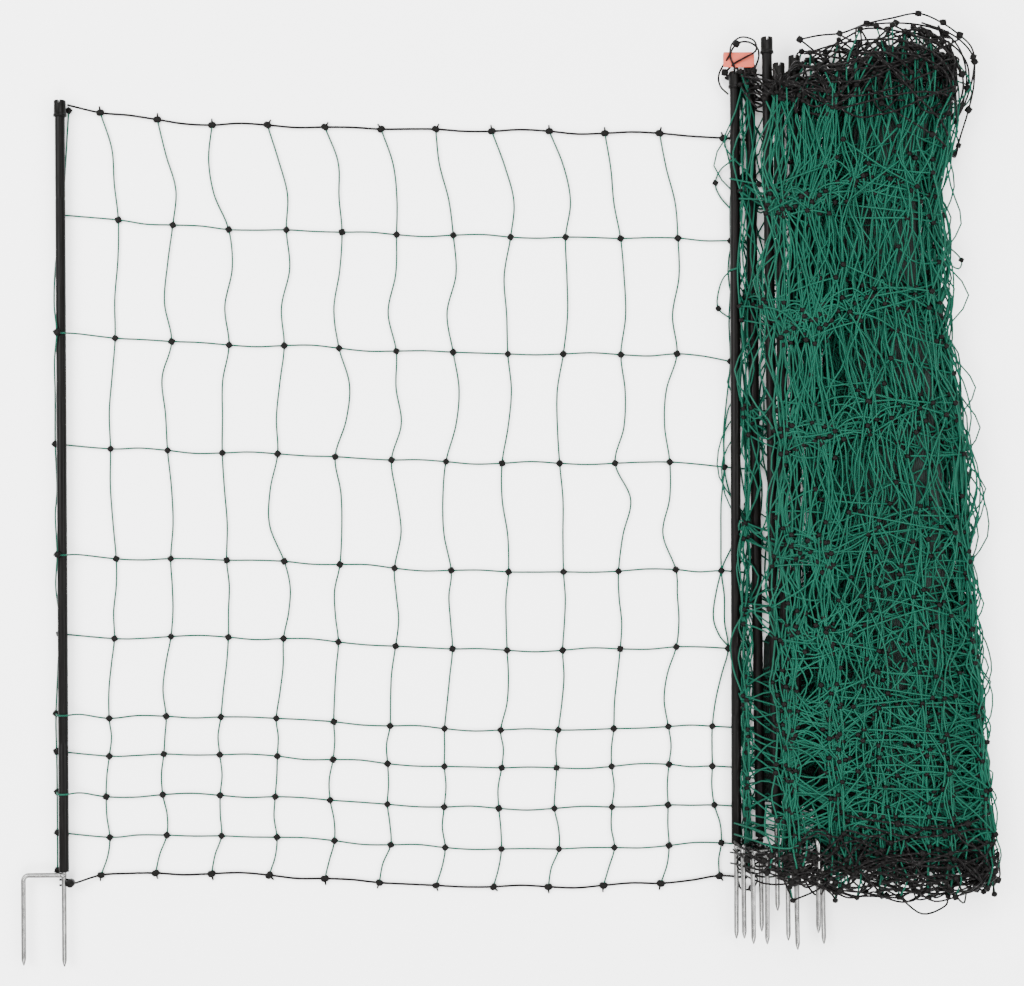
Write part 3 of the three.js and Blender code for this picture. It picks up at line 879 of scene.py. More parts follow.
def folded_knots(sizes):
    """Where every knot of the folded net lies, the band of each upright, and the random draws so far."""
    rng = np.random.default_rng(sizes.seed)
    order = layer_order()
    count, rows = len(order), len(ROW_HEIGHTS)
    bands = np.array([band for band, _, _, _ in order])
    layers = np.array([layer for _, layer, _, _ in order])
    last_layer = layers.max() + 1
    shift = rng.uniform(-LAYER_SHIFT, LAYER_SHIFT, last_layer)
    slope = rng.normal(0, LAYER_SLOPE, last_layer)
    heights = np.array(ROW_HEIGHTS, dtype=float)
    shares = (heights - heights[-1]) / (heights[0] - heights[-1])
    tops = np.take(TOP_LINE_PIXELS, bands) + rng.normal(0, 1, count) * np.take(TOP_LINE_SPREAD, bands)
    bottoms = np.take(BOTTOM_LINE_PIXELS, bands)
    bottoms = bottoms + rng.normal(0, 1, count) * np.take(BOTTOM_LINE_SPREAD, bands)
    tops = (FOOT_PIXEL[1] - tops.clip(*TOP_LINE_LIMITS)) * MM_PER_PIXEL
    bottoms = (FOOT_PIXEL[1] - bottoms.clip(*BOTTOM_LINE_LIMITS)) * MM_PER_PIXEL
    y = bottoms[:, None] + shares * (tops - bottoms)[:, None]
    inner = np.sin(math.pi * np.arange(rows) / (rows - 1)) ** 0.5
    y += inner * (shift[layers] + slope[layers] * (np.take(BAND_PLACES, bands) - 0.5) * 2)[:, None]
    y += inner * wandering(rng, (count, rows), KNOT_WANDER, 0.3)
    left = edge_at(FOLDED_LEFT_PIXELS, y)
    right = edge_at(FOLDED_RIGHT_PIXELS, y)
    x = left + (right - left) * np.take(BAND_PLACES, bands)[:, None]
    tall = np.interp(np.arange(rows), WANDER_ROWS, WANDER_WIDTHS)
    free = np.take(BAND_FREEDOM, bands)[:, None]
    x += free * wandering(rng, (count, rows), 1, 0.62) * tall
    x += rng.normal(0, 1, (count, 1)) * np.take(BAND_SPREAD, bands)[:, None]
    x = np.clip(x, left - rng.uniform(1, 7, x.shape), right + rng.uniform(-6, 5, x.shape))
    lift = np.array([band_height(band, rise, over) for band, _, rise, over in order])
    z = np.clip(lift[:, None] + wandering(rng, (count, rows), HEIGHT_WANDER, 0.5), LEAST_CORD_Z, FOLDED_TOP_Z)
    z[:, [TOP_ROW, BOTTOM_ROW]] += rng.uniform(0, LINES_ABOVE_CORDS, (count, 2))
    over_feet = np.array([over and band in BANDS_OVER_FEET for band, _, _, over in order])
    z[over_feet, BOTTOM_ROW] = rng.uniform(*FOOT_LINE_Z, over_feet.sum())
    z[over_feet, BOTTOM_ROW - 1] += ABOVE_FOOT_LINE_RISE
    return np.stack([x, y, z], axis=-1), bands, rng


def folded_uprights(knots, rng):
    """Curves down each folded upright, with bows between its knots."""
    count, rows = knots.shape[:2]
    controls = []
    for row in range(rows - 1):
        above, below = knots[:, row], knots[:, row + 1]
        controls.append(above)
        gap = ROW_HEIGHTS[row] - ROW_HEIGHTS[row + 1]
        steps = 2 if gap > 100 else 1
        lean = rng.normal(0, 0.085 * gap, count)
        twist = rng.normal(0, 0.055 * gap, count)
        for step in range(1, steps + 1):
            share = step / (steps + 1)
            point = above * (1 - share) + below * share
            swing = lean * math.sin(math.pi * share) + twist * math.sin(2 * math.pi * share)
            controls.append(point + np.stack([swing, np.zeros(count), rng.normal(0, 2, count)], axis=1))
    controls.append(knots[:, -1])
    return np.stack(controls, axis=1)


# How a cord between two knots of the folded net bends
ROW_SAG = 0.62
ROW_REACH_OUTWARD = 0.6
ROW_REACH_INWARD = 0.55
LEAST_SLACK = 30.0


def folded_rows(knots, bands, rng, length):
    """Short curves along each row from one upright to the next, looped where the net is folded back."""
    near = np.abs(bands[1:] - bands[:-1]) < 2
    here, after = knots[:-1][near], knots[1:][near]
    first_band, next_band = bands[:-1][near], bands[1:][near]
    count, rows = here.shape[:2]
    apart = np.linalg.norm((after - here)[..., :2], axis=-1)
    slack = np.sqrt(np.maximum((length / 2) ** 2 - (apart / 2) ** 2, LEAST_SLACK))
    folded = (first_band == next_band)[:, None]
    outward = np.where(first_band >= len(BAND_PLACES) - 1, 1.0, -1.0)[:, None]
    common = rng.normal(0.1, 0.75, (len(BAND_PLACES), rows))[np.minimum(first_band, next_band)]
    sag = slack * np.clip(common + rng.normal(0, 0.35, (count, rows)), -1.0, 1.0) * ROW_SAG
    swing = rng.normal(0, 0.5, (count, rows))
    reach = slack * rng.uniform(0.15, 0.45, (count, rows))
    reach = reach * np.where(outward > 0, ROW_REACH_OUTWARD, ROW_REACH_INWARD)
    bow_x = np.where(folded, outward * reach * np.cos(swing), 0.0)
    bow_y = np.where(folded, reach * np.sin(swing) * 1.6, sag)
    bow = np.stack([bow_x, bow_y, rng.normal(0, 2.5, (count, rows))], axis=-1)
    open_y = np.where(folded, 6.0 * rng.choice((-1, 1), (count, rows)), 0.0)
    opened = np.stack([np.zeros_like(open_y), open_y, np.zeros_like(open_y)], axis=-1)
    first = here * 2 / 3 + after / 3 + bow * rng.uniform(0.7, 1.1, (count, rows, 1)) + opened
    second = here / 3 + after * 2 / 3 + bow * rng.uniform(0.7, 1.1, (count, rows, 1)) - opened
    return np.stack([here, first, second, after], axis=2)


def line_rows(rows, rng):
    """The folded lines are stiffer than the cords, so they fall into wider loops."""
    looser = rows.copy()
    wide = rng.normal(0, 1, (len(rows), 2, 3)) * (8, 9, 5)
    looser[:, 1] += wide[:, 0] + wide[:, 1] * 0.5
    looser[:, 2] += wide[:, 0] - wide[:, 1] * 0.5
    outermost = edge_at(FOLDED_RIGHT_PIXELS, looser[..., 1]) + rng.uniform(0, 9, looser.shape[:2])
    looser[..., 0] = np.minimum(looser[..., 0], outermost)
    return looser


# Loose loops that stand out of the bundle or lie across its foot, and the knots in them: pixels of the
# photograph, then a height in millimetres
BLACK_LOOPS = (
    ((738, 80, 40), (764, 88, 64), (790, 94, 66), (820, 108, 66), (850, 124, 68), (872, 122, 69),
     (890, 118, 71), (920, 104, 70), (950, 92, 60)),
    ((742, 96, 30), (775, 100, 62), (810, 98, 64), (846, 104, 68), (880, 98, 71), (915, 84, 70),
     (948, 70, 56)),
    ((802, 92, 56), (822, 90, 66), (858, 88, 70), (895, 72, 71), (930, 58, 64), (952, 46, 50)),
    ((800, 60, 50), (830, 52, 58), (862, 48, 64), (895, 50, 69), (925, 62, 69), (945, 84, 62),
     (950, 108, 50)),
    ((820, 120, 62), (850, 112, 68), (884, 104, 71), (918, 100, 70), (946, 106, 60), (952, 128, 40)),
    ((812, 74, 56), (846, 68, 64), (880, 62, 69), (912, 66, 71), (938, 82, 66), (944, 110, 58),
     (930, 134, 56)),
    ((832, 40, 54), (856, 56, 64), (884, 78, 71), (908, 104, 71), (932, 126, 62), (946, 146, 44)),
    ((797, 44, 40), (815, 41, 46), (835, 40, 52), (848, 36, 54), (861, 31, 56), (885, 26, 58),
     (912, 21, 56), (935, 29, 52), (954, 41, 48), (966, 52, 44), (970, 66, 40), (970, 90, 34),
     (966, 112, 28), (960, 134, 22), (953.6, 154, 16), (938, 166, 20)),
    ((797, 44, 40), (806, 52, 44), (822, 66, 48), (838, 78, 52), (850, 96, 54)),
    ((861, 31, 52), (890, 30, 54), (916, 32, 52), (940, 40, 50), (955, 56, 46), (962, 80, 40),
     (960, 104, 34), (952, 126, 28)),
    ((875, 110, 62), (900, 126, 64), (925, 141, 62), (940, 151, 50), (951, 160, 34), (956, 148, 26)),
    ((850, 60, 56), (880, 44, 58), (910, 38, 60), (938, 50, 56), (950, 72, 50), (948, 100, 46),
     (930, 118, 50)),
    ((840, 84, 58), (868, 66, 60), (900, 54, 62), (928, 62, 60), (940, 84, 56), (934, 108, 54),
     (910, 122, 56)),
    ((812, 96, 50), (826, 76, 54), (846, 58, 56), (870, 50, 58), (896, 62, 60), (916, 82, 58),
     (936, 96, 50)),
    ((728, 95, 16), (720, 86, 14), (719, 74, 14), (727, 60, 28), (735, 47, 32), (748, 46, 34),
     (757, 56, 36), (752, 74, 30), (742, 84, 28)),
    ((725, 73, 16), (733, 66, 28), (744, 60, 30), (754, 54, 34), (752, 44, 34), (740, 40, 30),
     (731, 46, 26), (729, 58, 28), (734, 72, 28)),
    ((745, 92, 28), (762, 90, 50), (779, 92, 64), (793, 100, 64), (806, 92, 50), (822, 86, 50),
     (838, 92, 52)),
    ((760, 100, 54), (776, 100, 64), (790, 104, 64), (806, 88, 50), (815, 72, 52), (830, 60, 56),
     (846, 46, 56)),
    ((905, 34, 60), (930, 44, 60), (950, 56, 56), (962, 72, 48), (963, 92, 40), (955, 112, 34),
     (944, 128, 34)),
    ((900, 42, 64), (926, 50, 64), (944, 62, 58), (956, 80, 50), (957, 100, 42), (949, 120, 36)),
    ((915, 30, 56), (938, 38, 56), (956, 48, 50), (968, 62, 44), (969, 78, 38), (964, 100, 32),
     (955, 120, 28), (946, 132, 28)),
    ((930, 52, 64), (948, 66, 56), (958, 88, 46), (954, 110, 38), (944, 124, 36)),
    ((828, 860, 40), (850, 872, 48), (880, 880, 50), (910, 886, 48), (942, 884, 42), (968, 878, 34),
     (990, 870, 24)),
    ((834, 884, 20), (856, 890, 26), (884, 893, 30), (912, 890, 30), (944, 892, 24), (974, 888, 18),
     (998, 880, 12), (999, 864, 14)),
    ((742, 850, 30), (762, 858, 50), (784, 868, 62), (806, 864, 40), (826, 852, 30)),
    ((736, 862, 26), (752, 872, 34), (772, 870, 56), (792, 856, 64), (812, 846, 40)),
)
FOOT_LOOPS = (
    ((729, 850, 30), (742, 846, 83), (757, 851, 87), (772, 858, 88), (788, 861, 88), (804, 855, 86),
     (820, 848, 66)),
    ((730, 862, 20), (744, 858, 83), (760, 862, 87), (778, 868, 88), (796, 866, 87), (812, 858, 74),
     (830, 852, 60)),
    ((733, 842, 30), (748, 841, 84), (764, 846, 88), (782, 850, 88), (800, 846, 86), (816, 840, 66),
     (832, 838, 62)),
    ((738, 872, 10), (752, 872, 80), (766, 874, 87), (784, 872, 88), (800, 862, 86), (818, 854, 60)),
    ((735, 855, 30), (750, 864, 84), (768, 851, 88), (786, 844, 88), (802, 850, 86), (822, 860, 50)),
    ((738, 880, 6), (742, 890, 6), (752, 889, 8), (755, 876, 40), (748, 866, 60), (738, 860, 40)),
    ((786, 878, 60), (800, 872, 78), (812, 860, 74), (826, 858, 60), (836, 866, 50)),
    ((731, 846, 40), (741, 850, 84), (752, 846, 86), (764, 852, 87), (778, 848, 88), (792, 852, 88),
     (806, 848, 87), (820, 852, 87), (832, 858, 72), (846, 868, 66)),
    ((732, 838, 40), (742, 843, 83), (754, 853, 86), (768, 860, 88), (784, 856, 88), (800, 860, 88),
     (816, 864, 87), (828, 872, 72), (842, 880, 60)),
    ((772, 842, 88), (788, 838, 88), (804, 842, 88), (820, 846, 87), (836, 840, 70), (856, 832, 67)),
    ((770, 868, 86), (786, 872, 86), (802, 870, 86), (820, 862, 87), (836, 856, 70), (858, 850, 68)),
    ((834, 808, 66), (860, 813, 68), (890, 817, 69), (925, 822, 69), (960, 818, 60), (988, 808, 42)),
    ((838, 818, 66), (866, 822, 68), (900, 830, 69), (936, 828, 69), (966, 824, 58), (992, 826, 40)),
    ((840, 838, 66), (870, 846, 68), (904, 856, 69), (940, 860, 68), (972, 852, 56), (994, 846, 36)),
    ((836, 850, 64), (864, 862, 68), (896, 872, 69), (930, 874, 68), (964, 866, 56), (992, 858, 34)),
    ((842, 872, 60), (872, 866, 66), (906, 858, 69), (942, 846, 68), (970, 842, 58), (990, 834, 40)),
    ((838, 862, 64), (868, 878, 64), (902, 884, 62), (938, 880, 60), (970, 878, 48), (992, 872, 28)),
    ((846, 884, 50), (876, 876, 62), (910, 870, 68), (944, 868, 66), (974, 874, 46), (994, 882, 22)),
    ((850, 856, 68), (880, 850, 70), (914, 846, 70), (948, 852, 66), (976, 862, 50), (996, 868, 28)),
)
FOOT_CORDS = (
    ((733, 832, 30), (750, 834, 66), (768, 838, 87), (786, 838, 88), (802, 830, 78), (818, 826, 64),
     (834, 824, 62)),
    ((733, 821, 30), (752, 824, 60), (770, 829, 76), (788, 828, 78), (806, 820, 70), (822, 814, 64),
     (836, 812, 62)),
    ((760, 812, 60), (776, 818, 66), (792, 818, 68), (808, 812, 66), (824, 806, 64), (838, 803, 62)),
    ((772, 806, 62), (788, 811, 66), (804, 808, 66), (820, 800, 64), (834, 797, 62)),
    ((784, 800, 62), (788, 820, 70), (786, 842, 88), (789, 860, 88), (786, 878, 60)),
    ((792, 796, 62), (798, 818, 70), (799, 838, 87), (795, 856, 88)),
    ((806, 796, 62), (812, 814, 66), (813, 834, 74), (810, 852, 78)),
    ((762, 800, 60), (760, 822, 70), (765, 842, 87), (763, 858, 88)),
)
BLACK_LOOP_KNOTS = (
    (797, 44, 40), (835, 40, 52), (861, 31, 56), (912, 21, 56), (937, 29, 52), (954, 41, 48), (970, 66, 40),
    (966, 112, 28), (953.6, 154, 16), (890, 30, 54), (940, 40, 50), (875, 110, 62), (925, 141, 62),
    (735, 47, 32), (725, 73, 16), (752, 74, 30), (779, 92, 64), (806, 92, 50), (776, 100, 64),
    (815, 72, 52), (968, 62, 44), (956, 80, 50), (955, 112, 34), (963, 92, 40), (890, 817, 69),
    (960, 818, 60), (936, 828, 69), (870, 846, 68), (940, 860, 68), (896, 872, 69), (942, 846, 68),
    (914, 846, 70), (970, 878, 48), (806, 848, 87), (816, 864, 87), (842, 880, 60), (778, 848, 88),
    (741, 850, 84), (757, 851, 87), (788, 861, 88), (760, 862, 87), (796, 866, 87), (764, 846, 88),
    (800, 846, 86), (784, 872, 88), (752, 889, 8), (812, 860, 74), (850, 872, 48), (910, 886, 48),
    (968, 878, 34), (884, 893, 30), (974, 888, 18), (998, 880, 12), (762, 858, 50), (806, 864, 40),
    (752, 872, 34), (792, 856, 64), (822, 66, 48), (868, 66, 60), (928, 62, 60),
)
GREEN_LOOPS = (
    ((735, 160, 24), (722, 168, 6), (716, 182, 3), (721, 196, 3), (733, 210, 3)),
    ((738, 268, 24), (725, 276, 8), (719, 292, 3), (719, 308, 3), (731, 318, 3)),
    ((742, 398, 26), (730, 406, 6), (725, 436, 3), (725, 467, 4), (730, 492, 3), (738, 512, 3)),
    ((738, 532, 3), (732, 548, 3), (722, 571, 4), (714, 612, 3), (719, 634, 3), (731, 649, 3)),
    ((728, 180, 26), (757, 187, 36), (790, 196, 62), (830, 207, 56), (885, 215, 64), (940, 218, 40)),
    ((738, 200, 26), (770, 205, 52), (806, 214, 46), (850, 222, 58), (900, 223, 62), (938, 226, 40)),
    ((800, 318, 40), (830, 310, 50), (866, 300, 62), (900, 294, 64), (930, 285, 44), (943, 262, 30)),
    ((790, 300, 60), (812, 316, 46), (838, 322, 50), (872, 312, 62), (914, 300, 58), (938, 290, 40)),
    ((955, 84, 30), (966, 88, 26), (970, 96, 22), (962, 108, 22), (948, 110, 30)),
    ((938, 244, 24), (948, 248, 20), (961, 260, 14), (958, 269, 14), (944, 262, 20)),
    ((940, 128, 30), (953, 134, 22), (958, 146, 16), (950, 154, 20)),
    ((812, 330, 30), (822, 352, 34), (826, 384, 30), (818, 414, 28), (812, 446, 26)),
    ((815, 470, 28), (824, 500, 32), (826, 536, 30), (817, 566, 28), (811, 600, 26)),
    ((930, 640, 60), (950, 664, 52), (972, 700, 36), (982, 740, 22), (990, 790, 14), (996, 830, 10)),
)
GREEN_LOOP_KNOTS = (
    (716, 182, 3), (719, 308, 3), (725, 467, 4), (722, 571, 4), (757, 187, 36), (830, 207, 56),
    (940, 218, 40), (786, 838, 82), (788, 828, 78), (768, 838, 81), (792, 818, 68), (900, 223, 62),
    (866, 300, 62), (838, 322, 50), (961, 260, 14), (958, 146, 16), (982, 740, 22),
)


def loop_cords(loops, radius, sides, spacing):
    """Cords along given loops, moved clear of the posts."""
    parts = []
    for number, pixels in enumerate(loops):
        path = even_path([seen(*pixel) for pixel in pixels], spacing)
        path = clear_of_posts(path, radius)
        parts.append(swept(path, radius, sides, first_turn=number))
    return parts


def scattered_turns(rng, count, tilt):
    """Turns for knots that lie every way."""
    around = turns_about(2, rng.uniform(0, 2 * math.pi, count))
    tipped = turns_about(0, rng.normal(0, tilt, count))
    return np.einsum("nij,njk->nik", tipped, around)


# Posts


def turned(bm, profile, steps):
    """Turns a closed or axis-to-axis profile of radius and height about Y."""
    verts = [bm.verts.new((radius, height, 0)) for radius, height in profile]
    edges = [bm.edges.new(pair) for pair in zip(verts, verts[1:])]
    if profile[0][0] > 0:
        edges.append(bm.edges.new((verts[-1], verts[0])))
    bmesh.ops.spin(
        bm, geom=verts + edges, cent=(0, 0, 0), axis=(0, 1, 0), dvec=(0, 0, 0), angle=2 * math.pi,
        steps=steps, use_merge=True, use_duplicate=False)
    bmesh.ops.remove_doubles(bm, verts=bm.verts[:], dist=1e-4)
    bmesh.ops.recalc_face_normals(bm, faces=bm.faces[:])


def post_matrix(post):
    """Where a post's foot stands, and how it leans."""
    tilt = Matrix.Rotation(-math.atan(post["lean"]), 4, "Z")
    return Matrix.Translation((post["x"], post["y"], post["z"])) @ tilt


def bmesh_object(name, bm, place, smooth_angle, *material_names):
    """A piece from a bmesh in millimetres, moved to its place in the frame."""
    to_frame = Matrix.Diagonal((MM, MM, MM, 1)) @ Matrix.Translation(LAYOUT_TO_FRAME)
    bmesh.ops.transform(bm, matrix=to_frame @ place, verts=bm.verts[:])
    mesh = bpy.data.meshes.new(name)
    bm.to_mesh(mesh)
    bm.free()
    mesh.shade_smooth()
    mesh.set_sharp_from_angle(angle=math.radians(smooth_angle))
    return link_mesh(name, mesh, *material_names)


TUBE_STEPS = 32
TUBE_CHAMFER = 0.6
TUBE_BORE_R = SPIKE_R + FIT_GAP
RING_HEIGHTS = (186, 976)
RING_DEPTH = 0.25
RING_WIDTH = 3.0


def make_tube(prefix, post):
    """Extruded tube with a shallow pressed ring near each end."""
    bm = bmesh.new()
    profile = [(TUBE_BORE_R, 0), (TUBE_R - TUBE_CHAMFER, 0), (TUBE_R, TUBE_CHAMFER)]
    for height in RING_HEIGHTS:
        profile += [
            (TUBE_R, height - RING_WIDTH), (TUBE_R - RING_DEPTH, height - RING_WIDTH / 2),
            (TUBE_R - RING_DEPTH, height + RING_WIDTH / 2), (TUBE_R, height + RING_WIDTH)]
    profile += [
        (TUBE_R, TUBE_LENGTH - TUBE_CHAMFER), (TUBE_R - TUBE_CHAMFER, TUBE_LENGTH),
        (TUBE_BORE_R, TUBE_LENGTH)]
    turned(bm, profile, TUBE_STEPS)
    tube = bmesh_object(f"{prefix}_tube_finish", bm, post_matrix(post), 30, "post plastic")
    finish_piece(tube, [f"{prefix}_tube"])


HEAD_ROUNDING = 2.2
HEAD_ROUND_STEPS = 5


def make_head(prefix, post):
    """Moulded head: collar, rounded top and a slot across it."""
    bm = bmesh.new()
    head_r, collar_r, socket_r = HEAD_D / 2, COLLAR_D / 2, TUBE_R + FIT_GAP
    profile = [
        (0, HEAD_SOCKET + FIT_GAP), (socket_r, HEAD_SOCKET + FIT_GAP), (socket_r, 0.4), (socket_r + 0.4, 0),
        (collar_r - 0.6, 0), (collar_r, 0.6), (collar_r, COLLAR_HEIGHT - 0.8),
        (collar_r - 0.5, COLLAR_HEIGHT),
        (head_r + 0.2, COLLAR_HEIGHT + 0.4), (head_r, COLLAR_HEIGHT + 1)]
    for step in range(HEAD_ROUND_STEPS + 1):
        angle = math.pi / 2 * step / HEAD_ROUND_STEPS
        profile.append((
            head_r - HEAD_ROUNDING + HEAD_ROUNDING * math.cos(angle),
            HEAD_HEIGHT - HEAD_ROUNDING + HEAD_ROUNDING * math.sin(angle)))
    profile.append((0, HEAD_HEIGHT))
    turned(bm, profile, TUBE_STEPS)
    cut_slot(bm)
    place = post_matrix(post) @ Matrix.Translation((0, TUBE_LENGTH - HEAD_SOCKET, 0))
    head = bmesh_object(f"{prefix}_head_finish", bm, place, 32, "post plastic")
    finish_piece(head, [f"{prefix}_head"])


def without_repeats(items):
    """The items once each, in the order in which they first come."""
    return list(dict.fromkeys(items))


def cut_slot(bm):
    """Cuts the slot: parts the head along its sides and floor, then closes the walls that are left."""
    half = SLOT_WIDTH / 2
    floor = HEAD_HEIGHT - SLOT_DEPTH
    cuts = (((-half, 0, 0), (1, 0, 0)), ((half, 0, 0), (1, 0, 0)), ((0, floor, 0), (0, 1, 0)))
    for point, normal in cuts:
        everything = bm.verts[:] + bm.edges[:] + bm.faces[:]
        bmesh.ops.bisect_plane(bm, geom=everything, dist=1e-5, plane_co=point, plane_no=normal)
    inside = [
        face for face in bm.faces
        if abs(face.calc_center_median().x) < half and face.calc_center_median().y > floor]
    bmesh.ops.delete(bm, geom=inside, context="FACES")
    rim = [edge for edge in bm.edges if edge.is_boundary]
    floor_corners = [
        vert for vert in without_repeats(vert for edge in rim for vert in edge.verts)
        if abs(vert.co.y - floor) < 1e-3 and abs(abs(vert.co.x) - half) < 1e-3]
    for side in (-1, 1):
        pair = [vert for vert in floor_corners if vert.co.x * side > 0]
        if len(pair) == 2:
            rim.append(bm.edges.new(pair))
    for side in (-1, 1):
        wall = [
            edge for edge in rim
            if edge.is_valid and all(abs(vert.co.x - side * half) < 1e-3 for vert in edge.verts)]
        bmesh.ops.contextual_create(bm, geom=wall)
    bottom = [
        edge for edge in rim
        if edge.is_valid and all(abs(vert.co.y - floor) < 1e-3 for vert in edge.verts)]
    bmesh.ops.contextual_create(bm, geom=bottom)
    bmesh.ops.recalc_face_normals(bm, faces=bm.faces[:])


ROD_STEPS = 20
WELD_SIZES = (5.0, 4.2, 5.0)


def make_spike(prefix, post):
    """Main rod and a second prong, bent from one bar that is welded across below the tube."""
    bm = bmesh.new()
    tip = -SPIKE_LENGTH
    turned(bm, [
        (0, SPIKE_IN_TUBE), (SPIKE_R - 0.5, SPIKE_IN_TUBE), (SPIKE_R, SPIKE_IN_TUBE - 0.5),
        (SPIKE_R, tip + TIP_LENGTH), (SPIKE_R * 0.72, tip + TIP_LENGTH * 0.55), (SPIKE_R * 0.3, tip + 1),
        (0, tip)],
        ROD_STEPS)
    add_prong(bm)
    weld = Matrix.Translation((-1.2, -PRONG_DROP, 0)) @ Matrix.Diagonal((*WELD_SIZES, 1))
    bmesh.ops.create_uvsphere(bm, u_segments=16, v_segments=10, radius=1.0, matrix=weld)
    place = post_matrix(post) @ Matrix.Rotation(math.radians(180 - post["turn"]), 4, "Y")
    spike = bmesh_object(f"{prefix}_spike_finish", bm, place, 34, "galvanised steel")
    finish_piece(spike, [f"{prefix}_double_spike"])


def add_prong(bm):
    """A bar out from the rod, an elbow, and a pointed prong down."""
    across = Matrix.Translation((0, -PRONG_DROP, 0)) @ Matrix.Rotation(-math.pi / 2, 4, "Y")
    made = bmesh.ops.create_circle(bm, cap_ends=True, radius=SPIKE_R, segments=ROD_STEPS, matrix=across)
    end = without_repeats(face for vert in made["verts"] for face in vert.link_faces)

    def pull(faces, offset):
        """Draws faces out, and gives the new faces and their points."""
        grown = bmesh.ops.extrude_face_region(bm, geom=faces, use_keep_orig=False)
        verts = [item for item in grown["geom"] if isinstance(item, bmesh.types.BMVert)]
        bmesh.ops.translate(bm, verts=verts, vec=offset)
        return [item for item in grown["geom"] if isinstance(item, bmesh.types.BMFace)], verts

    end, _ = pull(end, (-(PRONG_SPACING - ELBOW_RADIUS), 0, 0))
    elbow_centre = (-(PRONG_SPACING - ELBOW_RADIUS), -PRONG_DROP - ELBOW_RADIUS, 0)
    spun = bmesh.ops.spin(
        bm, geom=end, cent=elbow_centre, axis=(0, 0, 1), dvec=(0, 0, 0), angle=math.pi / 2, steps=8,
        use_merge=False, use_duplicate=False)
    end = [item for item in spun["geom_last"] if isinstance(item, bmesh.types.BMFace)]
    straight = PRONG_LENGTH - TIP_LENGTH - PRONG_DROP - ELBOW_RADIUS
    end, _ = pull(end, (0, -straight, 0))
    for drop, scale in ((TIP_LENGTH * 0.45, 0.72), (TIP_LENGTH * 0.45, 0.42), (TIP_LENGTH * 0.1, 0.1)):
        end, verts = pull(end, (0, -drop, 0))
        about = Matrix.Translation((PRONG_SPACING, 0, 0))
        bmesh.ops.scale(bm, verts=verts, vec=(scale, 1, scale), space=about)
    bmesh.ops.recalc_face_normals(bm, faces=bm.faces[:])


def make_clip():
    """Round body beside the spike, a small boss on it, and two arms that reach behind the rod."""
    bm = bmesh.new()
    centre = (CLIP_BODY_D / 2 + SPIKE_R, -CLIP_DROP, END_POST_Z)
    bmesh.ops.create_cone(
        bm, cap_ends=True, segments=28, radius1=CLIP_BODY_D / 2, radius2=CLIP_BODY_D / 2, depth=CLIP_DEPTH,
        matrix=Matrix.Translation(centre))
    rims = [edge for edge in bm.edges if len(edge.link_faces) == 2 and edge.calc_face_angle(0) > 1]
    bmesh.ops.bevel(
        bm, geom=rims, offset=CLIP_ROUNDING, offset_type="OFFSET", affect="EDGES", segments=2, profile=0.5,
        material=-1)
    boss = Matrix.Translation((centre[0], centre[1], centre[2] + CLIP_DEPTH / 2))
    flattened = boss @ Matrix.Diagonal((1, 1, CLIP_BOSS_FLATNESS, 1))
    bmesh.ops.create_uvsphere(bm, u_segments=16, v_segments=8, radius=CLIP_BOSS_R, matrix=flattened)
    for side in (-1, 1):
        length = CLIP_BODY_D / 2 + SPIKE_R + CLIP_REACH
        below_rod = END_POST_Z - SPIKE_R - FIT_GAP - CLIP_ARM_DEPTH / 2
        middle = (length / 2 - CLIP_REACH, side * CLIP_PITCH / 2 - CLIP_DROP, below_rod)
        made = bmesh.ops.create_cube(
            bm, size=1,
            matrix=Matrix.Translation(middle) @ Matrix.Diagonal((length, CLIP_ARM, CLIP_ARM_DEPTH, 1)))
        edges = without_repeats(edge for vert in made["verts"] for edge in vert.link_edges)
        bmesh.ops.bevel(
            bm, geom=edges, offset=CLIP_ARM_ROUNDING, offset_type="OFFSET", affect="EDGES", segments=2,
            profile=0.5, material=-1)
    clip = bmesh_object("end_post_clip_finish", bm, Matrix.Identity(4), 35, "post plastic")
    finish_piece(clip, ["end_post_line_clip"])


TAG_SIZE = (45, 22, 1.2)
TAG_CORNER = (953.5, 1163)
TAG_Z = 24.65
TAG_ROUNDING = 2.5


def make_tag():
    """Blank tag with rounded corners and a slight curl."""
    bm = bmesh.new()
    bmesh.ops.create_grid(bm, x_segments=18, y_segments=6, size=0.5)
    bmesh.ops.scale(bm, verts=bm.verts[:], vec=(TAG_SIZE[0], TAG_SIZE[1], 1))
    half_x, half_y, corner = TAG_SIZE[0] / 2, TAG_SIZE[1] / 2, TAG_ROUNDING
    for vert in bm.verts:
        over_x = max(abs(vert.co.x) - (half_x - corner), 0)
        over_y = max(abs(vert.co.y) - (half_y - corner), 0)
        reach = math.hypot(over_x, over_y)
        if reach > corner:
            vert.co.x -= math.copysign(over_x * (1 - corner / reach), vert.co.x)
            vert.co.y -= math.copysign(over_y * (1 - corner / reach), vert.co.y)
        vert.co.z = 0.9 * (vert.co.x / half_x) ** 2 - 0.5 * math.sin(vert.co.y / half_y * 1.4)
    bmesh.ops.recalc_face_normals(bm, faces=bm.faces[:])
    bmesh.ops.solidify(bm, geom=bm.faces[:], thickness=TAG_SIZE[2])
    bmesh.ops.recalc_face_normals(bm, faces=bm.faces[:])
    place = Matrix.Translation((TAG_CORNER[0] + half_x, TAG_CORNER[1] + half_y, TAG_Z))
    tag = bmesh_object("blank_tag_finish", bm, place, 40, "salmon tag")
    finish_piece(tag, ["blank_tag"])


# Stage

CAMERA_HEIGHT = 2.8
CAMERA_PLACE = (0.0022, 0.0026)
FRAME_WIDTH = 1.485
SUBJECT_Z = 0.012
SENSOR_WIDTH = 36.0


